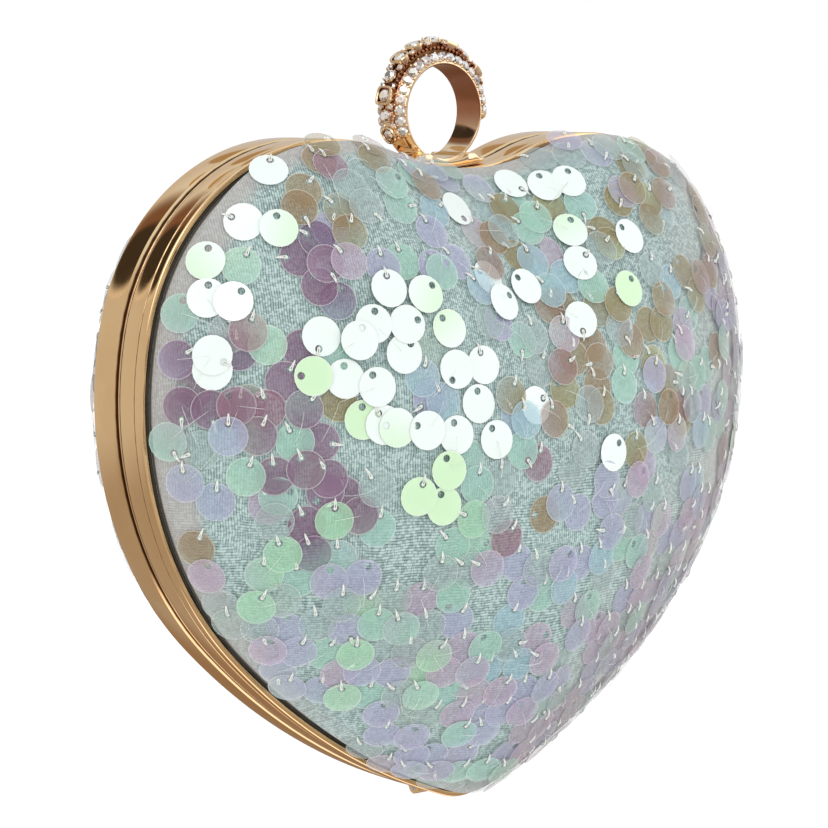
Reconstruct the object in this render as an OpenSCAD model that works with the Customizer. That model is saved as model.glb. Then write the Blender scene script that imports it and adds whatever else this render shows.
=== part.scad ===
// Heart shaped hard-case purse. Two domed heart halves open on a hinge at the tip,
// and a jewelled finger ring in the notch tilts back to free the front half.
// X runs across the purse, -Y is the front, Z is up. The origin is the finger ring's centre.

/* [Heart outline] */
// Height of the frame's outline from tip to lobe tops
heart_height = 140; // [125:1:160]
// Distance of each lobe's centre from the middle
lobe_spread = 35; // [31:0.5:40]
// Radius of the two lobes
lobe_radius = 45.5; // [42:0.5:50]
// Angle at which the lobe passes into the upper flank
lobe_end_angle = 12; // [8:1:20]
// Radius of the upper flank
flank_radius = 74; // [68:1:80]
// Angle at which the upper flank passes into the long lower side
flank_end_angle = -44; // [-46:1:-38]
// Radius of the tip
tip_radius = 14; // [11:0.5:18]
// Radius of the hollow between the lobes
notch_radius = 48; // [40:1:56]

/* [Frame] */
// Depth of each frame half, front to back
frame_depth = 8.25; // [7.5:0.25:10]
// Wall of the frame bands
frame_wall = 1.2; // [1:0.1:1.6]
// Width of the ledge along the parting line
ledge_width = 2; // [1.6:0.1:2.6]
// Thickness of the ledge and of the web that carries the hinge
ledge_thickness = 1.2; // [1:0.1:1.4]
// Gap between the closed frame halves
parting_gap = 0.3; // [0.2:0.05:0.5]
// Depth of the rounded lips along the edges
lip_depth = 0.6; // [0.4:0.1:0.8]
// How far those lips are drawn in
lip_inset = 0.25; // [0.15:0.05:0.35]
// Depth of the bead along the front rim
bead_depth = 2.1; // [1.6:0.1:2.6]
// How far the bead is drawn in
bead_inset = 0.2; // [0.1:0.05:0.4]

/* [Domes] */
// Height of each covered dome over its frame
dome_depth = 32; // [28:0.5:36]
// Half width of the oval that the heart turns into at the dome's middle
crown_half_width = 65; // [58:1:72]
// Half height of that oval
crown_half_height = 46; // [40:1:52]
// Height of the dome's middle over the tip
crown_height = 68; // [60:1:76]
// Gap between the frame's wall and the cover
rim_gap = 0.5; // [0.4:0.1:0.8]
// Thickness of the sequined cover
cover_thickness = 1; // [0.8:0.1:1.4]
// Thickness of the foam under the cover
padding_thickness = 1.6; // [1.2:0.1:2]
// Thickness of the moulded shell
shell_thickness = 1.6; // [1.3:0.1:2]
// Thickness of the glued lining
lining_thickness = 0.5; // [0.4:0.1:0.8]
// Gap between the shell's skirt and the ledge
skirt_gap = 0.95; // [0.9:0.05:1.2]

/* [Finger ring] */
// Inner diameter of the finger ring
ring_bore = 19.6; // [18:0.1:21]
// Distance of the ring's middle behind the parting line
ring_back = 1; // [0.6:0.1:1]
// Depth of the ring, front to back
ring_width = 7.6; // [6.6:0.2:8.2]
// Wall of the ring at its front and back edges
edge_wall = 0.5; // [0.4:0.1:0.7]
// Wall of the plain shank
shank_wall = 1.3; // [1.1:0.1:1.6]
// Height of the stone rails over the shank
rail_wall = 1.2; // [1:0.1:1.4]
// Depth of the slope that carries each edge row
slope_depth = 1.7; // [1.4:0.1:2]
// Height of the crown over the bore at the top
crown_wall = 4.6; // [4.2:0.1:5]
// Depth of the crown, front to back
crown_width = 4; // [3.6:0.1:4.2]
// Angle where the stone rails begin, from the right
stones_from = -4; // [-8:1:4]
// Angle where the stone rails end
stones_to = 206; // [196:1:208]
// Stones in each edge row
edge_stones = 19; // [15:1:20]
// Diameter of the edge stones
edge_stone_d = 1.9; // [1.6:0.1:2]
// Height of the edge stones
edge_stone_height = 0.7; // [0.5:0.1:0.9]
// Settings along the crown
crown_stones = 12; // [10:1:13]
// Angle of the first setting, and of the last one from the other side
crown_margin = 4; // [0:1:10]
// Diameter of the crown stones
crown_stone_d = 2.3; // [2:0.1:2.4]
// Wall of the round and square cups that hold them
cup_wall = 0.4; // [0.3:0.05:0.45]
// Height of the cups
cup_height = 1.1; // [0.9:0.1:1.4]
// Height of the stones' bases in their cups
stone_seat = 0.25; // [0.2:0.05:0.4]

/* [Clasp] */
// Half width of the ring's foot
foot_half_width = 9.4; // [8.6:0.2:10]
// Reach of the foot before the parting line
foot_front = 4.8; // [4.6:0.1:5.2]
// Reach of the foot behind the parting line
foot_back = 4.8; // [4.6:0.1:5]
// Metal of the foot under the bore
foot_height = 1.6; // [1.5:0.1:1.9]
// Height of the foot's ends over the notch
foot_end_height = 2; // [1.9:0.1:2.3]
// Height of the foot's shoulders over the notch
foot_shoulder_height = 3.2; // [3:0.1:3.5]
// Gap between the foot and the frame
foot_gap = 0.2; // [0.15:0.05:0.3]
// How far the foot before the band stands clear of the bore
foot_relief = 0.4; // [0.3:0.1:0.6]
// Gap between the foot's back and the lugs
lug_gap = 0.65; // [0.5:0.05:0.8]
// Radius of the pivot knuckles
pivot_knuckle_r = 1.1; // [1.05:0.05:1.15]
// Radius of the pivot pin
pivot_pin_r = 0.5; // [0.45:0.05:0.55]
// Running clearance round the pins
pin_clearance = 0.04; // [0.03:0.01:0.06]
// Distance of the foot's knuckles from the middle, so that they leave a finger its way
knuckle_inner = 4.8; // [4.8:0.1:5]
// Width of the foot's right knuckle
pivot_knuckle_width = 2.7; // [2.6:0.1:2.9]
// Width of each pivot lug
lug_width = 1.6; // [1.4:0.1:1.8]
// Width that the left knuckle gives up to the return spring
spring_room = 1.5; // [1.4:0.1:1.6]
// Radius of the return spring's wire
spring_wire_r = 0.14; // [0.12:0.01:0.16]
// Radius of the return spring's coil, to the middle of the wire
spring_coil_r = 0.72; // [0.72:0.01:0.76]
// Side gap between moving knuckles
side_gap = 0.15; // [0.1:0.05:0.2]
// Width of the latch tongue
tongue_width = 4; // [3.4:0.2:4.6]
// Thickness of the latch tongue
tongue_thickness = 1.1; // [1:0.05:1.2]
// Reach of the tongue below the foot
tongue_length = 2.6; // [2.4:0.05:2.7]
// Distance of the tongue before the parting line
tongue_front = 2.4; // [2.35:0.05:2.5]
// Play of the closed latch
latch_play = 0.1; // [0.06:0.02:0.14]
// Clearance beside the tongue
tongue_clearance = 0.3; // [0.2:0.05:0.35]
// Room before the tongue for its swing
tongue_swing = 0.9; // [0.85:0.05:1]
// Thickness of the spring plate that holds the tongue
catch_thickness = 0.5; // [0.4:0.05:0.6]
// Width of the spring plate
catch_width = 13; // [12:0.5:14]

/* [Hinge] */
// Radius of the hinge knuckles
hinge_knuckle_r = 1.6; // [1.5:0.05:1.7]
// Radius of the hinge pin
hinge_pin_r = 0.8; // [0.7:0.05:0.9]
// Width of the front knuckle in the middle
front_knuckle_width = 4.6; // [4:0.2:5]
// Gap between the hinge and the frame's cutout
hinge_gap = 0.3; // [0.2:0.05:0.4]
// Thickness of the hinge leaves
leaf_thickness = 0.8; // [0.7:0.05:0.85]
// Half width of the leaves
leaf_half_width = 6; // [5.6:0.2:6.4]
// Height of the leaves over the tip
leaf_top = 15; // [14:0.5:16]
// Height of the frame's web over the tip
web_top = 17; // [16:0.5:18]
// Radius of the rivets' shanks
rivet_r = 0.8; // [0.7:0.05:0.9]
// Radius of the rivets' heads
rivet_head_r = 1.5; // [1.3:0.1:1.7]
// Height of the rivets' heads
rivet_head_height = 0.6; // [0.5:0.05:0.7]
// Distance of the rivets from the middle
rivet_spread = 3.6; // [3.2:0.1:3.8]
// Height of the rivets over the tip
rivet_level = 11; // [10.4:0.2:11.6]

/* [Hidden] */
$fn = 48;

// How far a cut runs past the piece that it cuts
overrun = 1;

gold = [0.83, 0.62, 0.47];
steel = [0.72, 0.72, 0.74];
mint = [0.55, 0.74, 0.71];
foam = [0.90, 0.90, 0.86];
moulding = [0.85, 0.85, 0.83];
satin = [0.20, 0.20, 0.22];
crystal = [0.93, 0.94, 0.97];

// Steps along each arc of the outline, from the notch down to the tip
notch_steps = 3;
lobe_steps = 12;
flank_steps = 7;
side_steps = 5;
tip_steps = 5;

// Rings of each dome between rim and middle, and its shape: how early it turns flat,
// how steeply it leaves the rim, and how late the heart turns into the oval
dome_steps = 8;
flat_share = 2.3;
steep_share = 1.4;
oval_share = 2;

// Sides of the small stones, of the spring's wire and of each turn of its coil
stone_sides = 8;
wire_sides = 6;
coil_sides = 16;
coil_turns = 2;

// Centres of the outline's arcs. The long side's radius closes it against the tip.
lobe_centre = [lobe_spread, heart_height - lobe_radius];
notch_rise = sqrt(pow(notch_radius + lobe_radius, 2) - pow(lobe_spread, 2));
notch_centre = [0, lobe_centre.y + notch_rise];
notch_level = notch_centre.y - notch_radius;
notch_end = atan2(-notch_rise, lobe_spread);
tip_centre = [0, tip_radius];
flank_centre = lobe_centre + (lobe_radius - flank_radius) * unit(lobe_end_angle);
flank_end = flank_centre + flank_radius * unit(flank_end_angle);
from_tip = flank_end - tip_centre;
side_radius = (from_tip * from_tip - pow(tip_radius, 2))
    / (2 * (unit(flank_end_angle) * from_tip - tip_radius));
side_centre = flank_end - side_radius * unit(flank_end_angle);
side_way = (tip_centre - side_centre) / (side_radius - tip_radius);
side_end_angle = atan2(side_way.y, side_way.x);

// Insets and heights of the layers of each half
cover_inset = frame_wall + rim_gap;
padding_inset = cover_inset + cover_thickness;
shell_inset = padding_inset + padding_thickness;
shell_inner_inset = shell_inset + shell_thickness;
lining_inset = shell_inner_inset + lining_thickness;
skirt_inset = frame_wall + shell_thickness;
skirt_lining_inset = skirt_inset + lining_thickness;
padding_depth = dome_depth - cover_thickness;
shell_depth = padding_depth - padding_thickness;
shell_inner_depth = shell_depth - shell_thickness;
lining_depth = shell_inner_depth - lining_thickness;
half_gap = parting_gap / 2;
ledge_face = half_gap + ledge_thickness;
skirt_start = ledge_face + skirt_gap;
shoulder = frame_depth - shell_thickness;

// Finger ring: the edge rows sit on the middle of the slopes, the crown is a circle lifted over the bore
bore_r = ring_bore / 2;
ring_level = notch_level + foot_gap + foot_height + bore_r;
edge_r = bore_r + edge_wall;
shank_r = bore_r + shank_wall;
rail_r = shank_r + rail_wall;
half_ring = ring_width / 2;
slope_rise = rail_r - edge_r;
slope_angle = atan2(slope_rise, slope_depth);
shank_half = half_ring - slope_depth * (shank_r - edge_r) / slope_rise;
row_r = (edge_r + rail_r) / 2;
row_y = half_ring - slope_depth / 2;
row_step = (stones_to - stones_from) / edge_stones;
crown_r = (ring_bore + shank_wall + crown_wall) / 2;
crown_lift = (crown_wall - shank_wall) / 2;
crown_step = (stones_to - stones_from - 2 * crown_margin) / (crown_stones - 1);
foot_shoulder_share = 0.75;
facet_share = 0.6;
crown_chamfer_share = 0.1;

// Clasp: the pivot sits on the back frame, and the tongue hangs in the front one
pivot_back = foot_back + lug_gap + pivot_knuckle_r;
lug_inner = knuckle_inner + pivot_knuckle_width + side_gap;
lug_outer = lug_inner + lug_width;
pivot_level = notch_level + notch_rise_at(lug_inner) + side_gap + pivot_knuckle_r;
knuckle_arm_share = 0.8;
tongue_end = notch_level + foot_gap - tongue_length;
slot_half = tongue_width / 2 + tongue_clearance;
slot_front = tongue_front + tongue_thickness + tongue_swing;
slot_back = tongue_front - latch_play;
catch_front = slot_front + tongue_swing;
pocket_half = catch_width / 2 + tongue_clearance;
pocket_depth = tongue_length + ledge_width;

// Hinge: the barrel is as wide as the tip is round below the pin
hinge_level = hinge_knuckle_r;
hinge_half = sqrt(hinge_level * (2 * tip_radius - hinge_level));
front_knuckle_half = front_knuckle_width / 2;
back_knuckle_inner = front_knuckle_half + side_gap;
leaf_face = ledge_face + leaf_thickness;
hinge_cut_half = hinge_half + hinge_gap;
hinge_cut_top = hinge_level + hinge_knuckle_r + hinge_gap;
hinge_cut_depth = leaf_face + hinge_gap;

// The return spring's wire, seen from the pivot's middle: a leg on the foot, the coil round the pin,
// and a leg down to the frame
spring_from = side_gap + spring_wire_r - lug_inner;
spring_pitch = (spring_room - 2 * spring_wire_r) / (coil_turns + 1);
spring_reach = pivot_back - foot_back - spring_wire_r;
spring_end = coil_point(360 * coil_turns + 90);
spring_drop = pivot_level - notch_level - notch_rise_at(spring_end.x);
spring_path = concat(
    [[spring_from, -spring_reach, spring_coil_r]],
    [for (i = [0:coil_turns * coil_sides + coil_sides / 4]) coil_point(i * 360 / coil_sides)],
    [spring_end - [0, 0, spring_drop]]
);

function unit(angle) = [cos(angle), sin(angle)];

// Rise of the notch over its lowest point, at some distance from the middle
function notch_rise_at(x) = notch_radius - sqrt(pow(notch_radius, 2) - pow(x, 2));

function coil_point(angle) = [
    spring_from + spring_pitch * angle / 360,
    spring_coil_r * sin(angle),
    spring_coil_r * cos(angle)
];

function arc(centre, radius, from, to, steps) =
    [for (i = [0:steps - 1]) centre + radius * unit(from + (to - from) * i / steps)];

// Right half of the outline, from the middle of the notch to just before the tip's lowest point
function right_half(inset) = concat(
    arc(notch_centre, notch_radius + inset, -90, notch_end, notch_steps),
    arc(lobe_centre, lobe_radius - inset, notch_end + 180, lobe_end_angle, lobe_steps),
    arc(flank_centre, flank_radius - inset, lobe_end_angle, flank_end_angle, flank_steps),
    arc(side_centre, side_radius - inset, flank_end_angle, side_end_angle, side_steps),
    arc(tip_centre, tip_radius - inset, side_end_angle, -90, tip_steps)
);

// The closed outline, drawn in by the inset, clockwise from the notch
function heart(inset) =
    let (right = right_half(inset), last = len(right) - 1)
    concat(right, [[0, inset]], [for (i = [last:-1:1]) [-right[i].x, right[i].y]]);

// One ring of a dome. Share is 1 at the rim and 0 in the middle: the rim shrinks towards the
// middle, turns from heart to oval on the way, and climbs by the dome's curve.
function dome_ring(inset, depth, share) =
    let (
        middle = [0, crown_height],
        turn = pow(1 - share, oval_share),
        climb = depth * pow(1 - pow(share, flat_share), 1 / steep_share)
    )
    [for (p = heart(inset))
        let (
            away = p - middle,
            reach = norm(away),
            way = away / reach,
            oval = 1 / norm([way.x / crown_half_width, way.y / crown_half_height]),
            q = middle + way * share * ((1 - turn) * reach + turn * oval)
        )
        [q.x, -frame_depth - climb, q.y]
    ];

// All rings of a dome, from the rim inwards, and its middle
function dome_rings(inset, depth) =
    [for (i = [0:dome_steps - 1]) dome_ring(inset, depth, cos(90 * i / dome_steps))];

function dome_middle(depth) = [0, -frame_depth - depth, crown_height];

// The outline at one depth, as a ring of points
function level_ring(inset, depth) = [for (p = heart(inset)) [p.x, -depth, p.y]];

// Moves everything so that the finger ring's centre is the origin
module placed() {
    translate([0, -ring_back, -ring_level]) children();
}

// The back half mirrors the front one
module mirrored() {
    mirror([0, 1, 0]) children();
}

// Stands a flat shape up and gives it thickness between two depths before the parting line
module slab(from, to) {
    translate([0, -from, 0]) rotate([90, 0, 0]) linear_extrude(to - from) children();
}

// A bar or hole along X, at some depth before the parting line
module across(from, to, depth, level, radius) {
    translate([from, -depth, level]) rotate([0, 90, 0]) cylinder(h = to - from, r = radius);
}

// A box given by its corners
module block(from, to) {
    translate(from) cube(to - from);
}

module outline(inset) {
    polygon(heart(inset));
}

module band(outer, inner) {
    difference() {
        outline(outer);
        outline(inner);
    }
}

// A closed skin between an outer and an inner stack of rings, each closed by its middle point
module skin(outer, outer_middle, inner, inner_middle) {
    count = len(outer[0]);
    outer_size = len(outer) * count;
    inner_size = len(inner) * count;
    total = outer_size + inner_size;
    points = concat([for (ring = outer) each ring], [for (ring = inner) each ring],
        [outer_middle, inner_middle]);
    outer_walls = [for (k = [0:len(outer) - 2], i = [0:count - 1])
        let (j = (i + 1) % count, a = k * count)
        each [[a + i, a + count + i, a + j], [a + j, a + count + i, a + count + j]]];
    inner_walls = [for (k = [0:len(inner) - 2], i = [0:count - 1])
        let (j = (i + 1) % count, a = outer_size + k * count)
        each [[a + i, a + j, a + count + i], [a + j, a + count + j, a + count + i]]];
    outer_cap = [for (i = [0:count - 1])
        let (a = outer_size - count)
        [a + i, total, a + (i + 1) % count]];
    inner_cap = [for (i = [0:count - 1])
        let (a = total - count)
        [a + i, a + (i + 1) % count, total + 1]];
    rim = [for (i = [0:count - 1])
        let (j = (i + 1) % count)
        each [[i, j, outer_size + i], [j, outer_size + j, outer_size + i]]];
    polyhedron(points, concat(outer_walls, inner_walls, outer_cap, inner_cap, rim));
}

// One half of the case, drawn as the front one

module hinge_cut() {
    block([-hinge_cut_half, -hinge_cut_depth, -overrun],
        [hinge_cut_half, hinge_cut_depth, hinge_cut_top]);
}

module web() {
    intersection() {
        outline(frame_wall);
        translate([-heart_height / 2, 0]) square([heart_height, web_top]);
    }
}

module rivet_holes() {
    for (side = [-1, 1]) translate([side * rivet_spread, 0, rivet_level]) rotate([90, 0, 0])
        cylinder(h = frame_depth, r = rivet_r);
}

module frame_half(rim_depth, rim_inset) {
    difference() {
        union() {
            slab(half_gap, half_gap + lip_depth) band(lip_inset, frame_wall);
            slab(half_gap + lip_depth, frame_depth - rim_depth) band(0, frame_wall);
            slab(frame_depth - rim_depth, frame_depth) band(rim_inset, frame_wall);
            slab(half_gap, ledge_face) band(frame_wall, frame_wall + ledge_width);
            slab(half_gap, ledge_face) web();
        }
        hinge_cut();
        rivet_holes();
    }
}

// The shell is a dome with a flat shoulder and a skirt that fits inside the frame's wall
module shell_half() {
    outer = concat(
        [level_ring(frame_wall, skirt_start), level_ring(frame_wall, frame_depth)],
        dome_rings(shell_inset, shell_depth)
    );
    inner = concat(
        [level_ring(skirt_inset, skirt_start), level_ring(skirt_inset, shoulder),
            level_ring(shell_inner_inset, shoulder)],
        dome_rings(shell_inner_inset, shell_inner_depth)
    );
    skin(outer, dome_middle(shell_depth), inner, dome_middle(shell_inner_depth));
}

module padding_half() {
    skin(dome_rings(padding_inset, padding_depth), dome_middle(padding_depth),
        dome_rings(shell_inset, shell_depth), dome_middle(shell_depth));
}

module cover_half() {
    skin(dome_rings(cover_inset, dome_depth), dome_middle(dome_depth),
        dome_rings(padding_inset, padding_depth), dome_middle(padding_depth));
}

module lining_half() {
    outer = concat(
        [level_ring(skirt_inset, skirt_start), level_ring(skirt_inset, shoulder),
            level_ring(shell_inner_inset, shoulder)],
        dome_rings(shell_inner_inset, shell_inner_depth)
    );
    inner = concat(
        [level_ring(skirt_lining_inset, skirt_start),
            level_ring(skirt_lining_inset, shoulder - lining_thickness),
            level_ring(lining_inset, shoulder - lining_thickness)],
        dome_rings(lining_inset, lining_depth)
    );
    skin(outer, dome_middle(shell_inner_depth), inner, dome_middle(lining_depth));
}

// A leaf lies on the web's inner face, and its root turns out to the knuckle
module leaf_plate() {
    difference() {
        block([-leaf_half_width, -leaf_face, hinge_cut_top - hinge_gap],
            [leaf_half_width, -ledge_face, leaf_top]);
        rivet_holes();
    }
}

module leaf_knuckle(from, to, hole_r) {
    difference() {
        union() {
            across(from, to, 0, hinge_level, hinge_knuckle_r);
            block([from, -leaf_face, hinge_level], [to, -half_gap, hinge_cut_top - hinge_gap]);
        }
        across(from - overrun, to + overrun, 0, hinge_level, hole_r);
    }
}

module rivets() {
    for (side = [-1, 1]) translate([side * rivet_spread, 0, rivet_level]) rotate([90, 0, 0]) {
        translate([0, 0, half_gap]) cylinder(h = leaf_face - half_gap, r = rivet_r);
        translate([0, 0, leaf_face]) cylinder(h = rivet_head_height, r = rivet_head_r);
    }
}

// Back half, which carries the pins

module back_frame() {
    color(gold) placed() mirrored() frame_half(lip_depth, lip_inset);
}

module back_shell() {
    color(moulding) placed() mirrored() shell_half();
}

module back_padding() {
    color(foam) placed() mirrored() padding_half();
}

module back_cover() {
    color(mint) placed() mirrored() cover_half();
}

module back_lining() {
    color(satin) placed() mirrored() lining_half();
}

module back_hinge_leaf() {
    color(gold) placed() mirrored() {
        leaf_plate();
        leaf_knuckle(back_knuckle_inner, hinge_half, hinge_pin_r);
        leaf_knuckle(-hinge_half, -back_knuckle_inner, hinge_pin_r);
    }
}

module back_hinge_rivets() {
    color(steel) placed() mirrored() rivets();
}

module hinge_pin() {
    color(steel) placed() across(-hinge_half, hinge_half, 0, hinge_level, hinge_pin_r);
}

module lug(from, to) {
    difference() {
        union() {
            across(from, to, -pivot_back, pivot_level, pivot_knuckle_r);
            block([from, pivot_back - pivot_knuckle_r, notch_level - overrun],
                [to, pivot_back + pivot_knuckle_r, pivot_level]);
        }
        slab(-frame_depth - overrun, overrun) outline(0);
        across(from - overrun, to + overrun, -pivot_back, pivot_level, pivot_pin_r);
    }
}

module clasp_lugs() {
    color(gold) placed() {
        lug(lug_inner, lug_outer);
        lug(-lug_outer, -lug_inner);
    }
}

// Two short pins, one in each lug, so that none crosses a finger's way
module clasp_pins() {
    color(steel) placed() {
        across(knuckle_inner, lug_outer, -pivot_back, pivot_level, pivot_pin_r);
        across(-lug_outer, -knuckle_inner, -pivot_back, pivot_level, pivot_pin_r);
    }
}

// Rings of points round a path that always crosses the X axis
function path_rings(path, radius, sides) =
    [for (i = [0:len(path) - 1])
        let (
            before = path[max(i - 1, 0)],
            after = path[min(i + 1, len(path) - 1)],
            way = (after - before) / norm(after - before),
            side_raw = [1, 0, 0] - way * way.x,
            side = side_raw / norm(side_raw),
            up = cross(way, side)
        )
        [for (k = [0:sides - 1])
            path[i] + radius * (side * cos(360 * k / sides) + up * sin(360 * k / sides))]
    ];

module wire(path, radius, sides) {
    rings = path_rings(path, radius, sides);
    count = len(rings);
    walls = [for (i = [0:count - 2], k = [0:sides - 1])
        let (next = (k + 1) % sides, a = i * sides)
        each [[a + k, a + next, a + sides + k], [a + next, a + sides + next, a + sides + k]]];
    start_cap = [[for (k = [sides - 1:-1:0]) k]];
    end_cap = [[for (k = [0:sides - 1]) (count - 1) * sides + k]];
    polyhedron([for (ring = rings) each ring], concat(walls, start_cap, end_cap));
}

module clasp_spring() {
    color(steel) placed() translate([0, pivot_back, pivot_level])
        wire(spring_path, spring_wire_r, wire_sides);
}
echo(least_gap_between_spring_turns = spring_pitch - 2 * spring_wire_r);

// Front half

// The slot is open towards the parting line, so that the tongue can leave backwards
module tongue_slot(back) {
    block([-slot_half, -slot_front, notch_level - pocket_depth],
        [slot_half, -back, notch_level + overrun]);
}

// Room for the tongue and the spring plate behind the frame's wall
module clasp_pocket() {
    block([-pocket_half, -shoulder, notch_level - pocket_depth],
        [pocket_half, 0, notch_level + overrun]);
}

module front_frame() {
    color(gold) placed() difference() {
        frame_half(bead_depth, bead_inset);
        tongue_slot(0);
    }
}

module front_shell() {
    color(moulding) placed() difference() {
        shell_half();
        clasp_pocket();
    }
}

module front_padding() {
    color(foam) placed() padding_half();
}

module front_cover() {
    color(mint) placed() cover_half();
}

module front_lining() {
    color(satin) placed() difference() {
        lining_half();
        clasp_pocket();
    }
}

module front_hinge_leaf() {
    color(gold) placed() {
        leaf_plate();
        leaf_knuckle(-front_knuckle_half, front_knuckle_half, hinge_pin_r + pin_clearance);
    }
}

module front_hinge_rivets() {
    color(steel) placed() rivets();
}

// A sprung plate under the frame's wall: its strip behind the tongue gives way when the case snaps shut
module catch_spring() {
    color(steel) placed() difference() {
        slab(ledge_face, catch_front) intersection() {
            band(frame_wall, frame_wall + catch_thickness);
            translate([-catch_width / 2, notch_level - pocket_depth])
                square([catch_width, heart_height - notch_level]);
        }
        tongue_slot(slot_back);
    }
}

// Finger ring, with its foot and its tongue

module around(angle) {
    rotate([0, 90 - angle, 0]) children();
}

module ring_shank() {
    rotate([90, 0, 0]) rotate_extrude() polygon([
        [bore_r, -half_ring], [edge_r, -half_ring], [shank_r, -shank_half],
        [shank_r, shank_half], [edge_r, half_ring], [bore_r, half_ring]
    ]);
}

module stone_rail() {
    rotate([90, 0, 0]) rotate([0, 0, stones_from]) rotate_extrude(angle = stones_to - stones_from)
        polygon([
            [shank_r, -shank_half], [rail_r, slope_depth - half_ring],
            [rail_r, half_ring - slope_depth], [shank_r, shank_half]
        ]);
}

// A knuckle on an arm that reaches back from the foot
module foot_knuckle(from, to) {
    arm = pivot_knuckle_r * knuckle_arm_share;
    block([from, foot_back - overrun, pivot_level - arm], [to, pivot_back, pivot_level + arm]);
    across(from, to, -pivot_back, pivot_level, pivot_knuckle_r);
}

module foot_body() {
    shoulder_half = foot_half_width * foot_shoulder_share;
    slab(-foot_back, foot_front) translate([0, notch_level]) polygon([
        [-foot_half_width, 0], [-foot_half_width, foot_end_height],
        [-shoulder_half, foot_shoulder_height], [shoulder_half, foot_shoulder_height],
        [foot_half_width, foot_end_height], [foot_half_width, 0]
    ]);
}

// Before the band the foot is hollowed, so that only the band's own width touches a finger
module ring_foot() {
    difference() {
        placed() foot_body();
        rotate([90, 0, 0]) translate([0, 0, half_ring])
            cylinder(h = frame_depth, r = bore_r + foot_relief);
    }
    placed() foot_knuckles();
}

module foot_knuckles() {
    foot_knuckle(knuckle_inner, lug_inner - side_gap);
    foot_knuckle(spring_room + side_gap - lug_inner, -knuckle_inner);
}

module ring_band() {
    color(gold) difference() {
        union() {
            ring_shank();
            stone_rail();
            ring_foot();
        }
        rotate([90, 0, 0]) cylinder(h = 2 * frame_depth, r = bore_r, center = true);
        placed() slab(-foot_back, foot_front + overrun) outline(-foot_gap);
        placed() across(-lug_inner, lug_inner, -pivot_back, pivot_level, pivot_pin_r + pin_clearance);
    }
}

module crown_body() {
    chamfer = crown_width * crown_chamfer_share;
    half = crown_width / 2;
    translate([0, 0, crown_lift]) rotate([90, 0, 0]) rotate_extrude() polygon([
        [crown_r - crown_wall, -half], [crown_r - chamfer, -half], [crown_r, chamfer - half],
        [crown_r, half - chamfer], [crown_r - chamfer, half], [crown_r - crown_wall, half]
    ]);
}

module ring_crown() {
    color(gold) difference() {
        crown_body();
        rotate([90, 0, 0]) cylinder(h = ring_width, r = rail_r, center = true);
    }
}

// A cut stone: its girdle, and a crown that narrows to the table
module stone(diameter, height) {
    girdle = height * (1 - facet_share);
    cylinder(h = girdle, d = diameter, $fn = stone_sides);
    translate([0, 0, girdle])
        cylinder(h = height - girdle, d1 = diameter, d2 = diameter * facet_share, $fn = stone_sides);
}

module edge_row() {
    for (i = [0:edge_stones - 1]) around(stones_from + row_step / 2 + row_step * i)
        translate([0, -row_y, row_r]) rotate([slope_angle, 0, 0])
            stone(edge_stone_d, edge_stone_height);
}

module ring_front_stones() {
    color(crystal) edge_row();
}

module ring_back_stones() {
    color(crystal) mirrored() edge_row();
}

// Reach of the crown or the rail over the bore's centre in some direction
function crown_reach(angle) = max(rail_r,
    crown_lift * sin(angle) + sqrt(pow(crown_r, 2) - pow(crown_lift * cos(angle), 2)));

function setting_angle(i) = stones_from + crown_margin + crown_step * i;

// Round and square cups take turns
module cup_outline(i, size) {
    if (i % 2 == 0) circle(d = size);
    else square(size, center = true);
}

module ring_cups() {
    cup_d = crown_stone_d + 2 * cup_wall;
    color(gold) difference() {
        for (i = [0:crown_stones - 1]) around(setting_angle(i))
            translate([0, 0, crown_reach(setting_angle(i)) - stone_seat]) difference() {
                linear_extrude(cup_height + stone_seat) cup_outline(i, cup_d);
                linear_extrude(cup_height + stone_seat + overrun) circle(d = crown_stone_d);
            }
        crown_body();
        rotate([90, 0, 0]) cylinder(h = ring_width, r = rail_r, center = true);
    }
}

module ring_crown_stones() {
    color(crystal) for (i = [0:crown_stones - 1]) around(setting_angle(i))
        translate([0, 0, crown_reach(setting_angle(i)) + stone_seat])
            stone(crown_stone_d, cup_height);
}

module clasp_tongue() {
    color(steel) placed() intersection() {
        block([-tongue_width / 2, -tongue_front - tongue_thickness, tongue_end],
            [tongue_width / 2, -tongue_front, notch_level + overrun]);
        slab(tongue_front - overrun, tongue_front + tongue_thickness + overrun) outline(-foot_gap);
    }
}

back_frame();
back_shell();
back_padding();
back_cover();
back_lining();
back_hinge_leaf();
back_hinge_rivets();
hinge_pin();
clasp_lugs();
clasp_pins();
clasp_spring();
front_frame();
front_shell();
front_padding();
front_cover();
front_lining();
front_hinge_leaf();
front_hinge_rivets();
catch_spring();
ring_band();
ring_crown();
ring_front_stones();
ring_back_stones();
ring_cups();
ring_crown_stones();
clasp_tongue();
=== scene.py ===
import math

import bmesh
import bpy
import numpy as np
from mathutils import Matrix


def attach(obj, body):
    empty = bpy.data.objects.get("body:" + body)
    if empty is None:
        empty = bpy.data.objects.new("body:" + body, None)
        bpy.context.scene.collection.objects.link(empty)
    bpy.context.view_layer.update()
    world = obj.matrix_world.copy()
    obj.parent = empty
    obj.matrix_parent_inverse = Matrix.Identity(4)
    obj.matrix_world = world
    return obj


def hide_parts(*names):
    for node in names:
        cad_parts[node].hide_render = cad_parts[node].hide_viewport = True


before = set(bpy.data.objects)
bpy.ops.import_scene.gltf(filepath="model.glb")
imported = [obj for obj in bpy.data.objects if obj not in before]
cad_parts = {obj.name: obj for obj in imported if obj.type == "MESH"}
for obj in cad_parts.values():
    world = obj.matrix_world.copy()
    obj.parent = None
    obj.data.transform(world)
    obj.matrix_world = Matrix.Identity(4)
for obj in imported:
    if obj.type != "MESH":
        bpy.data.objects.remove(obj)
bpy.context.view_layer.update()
scene = bpy.context.scene
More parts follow.
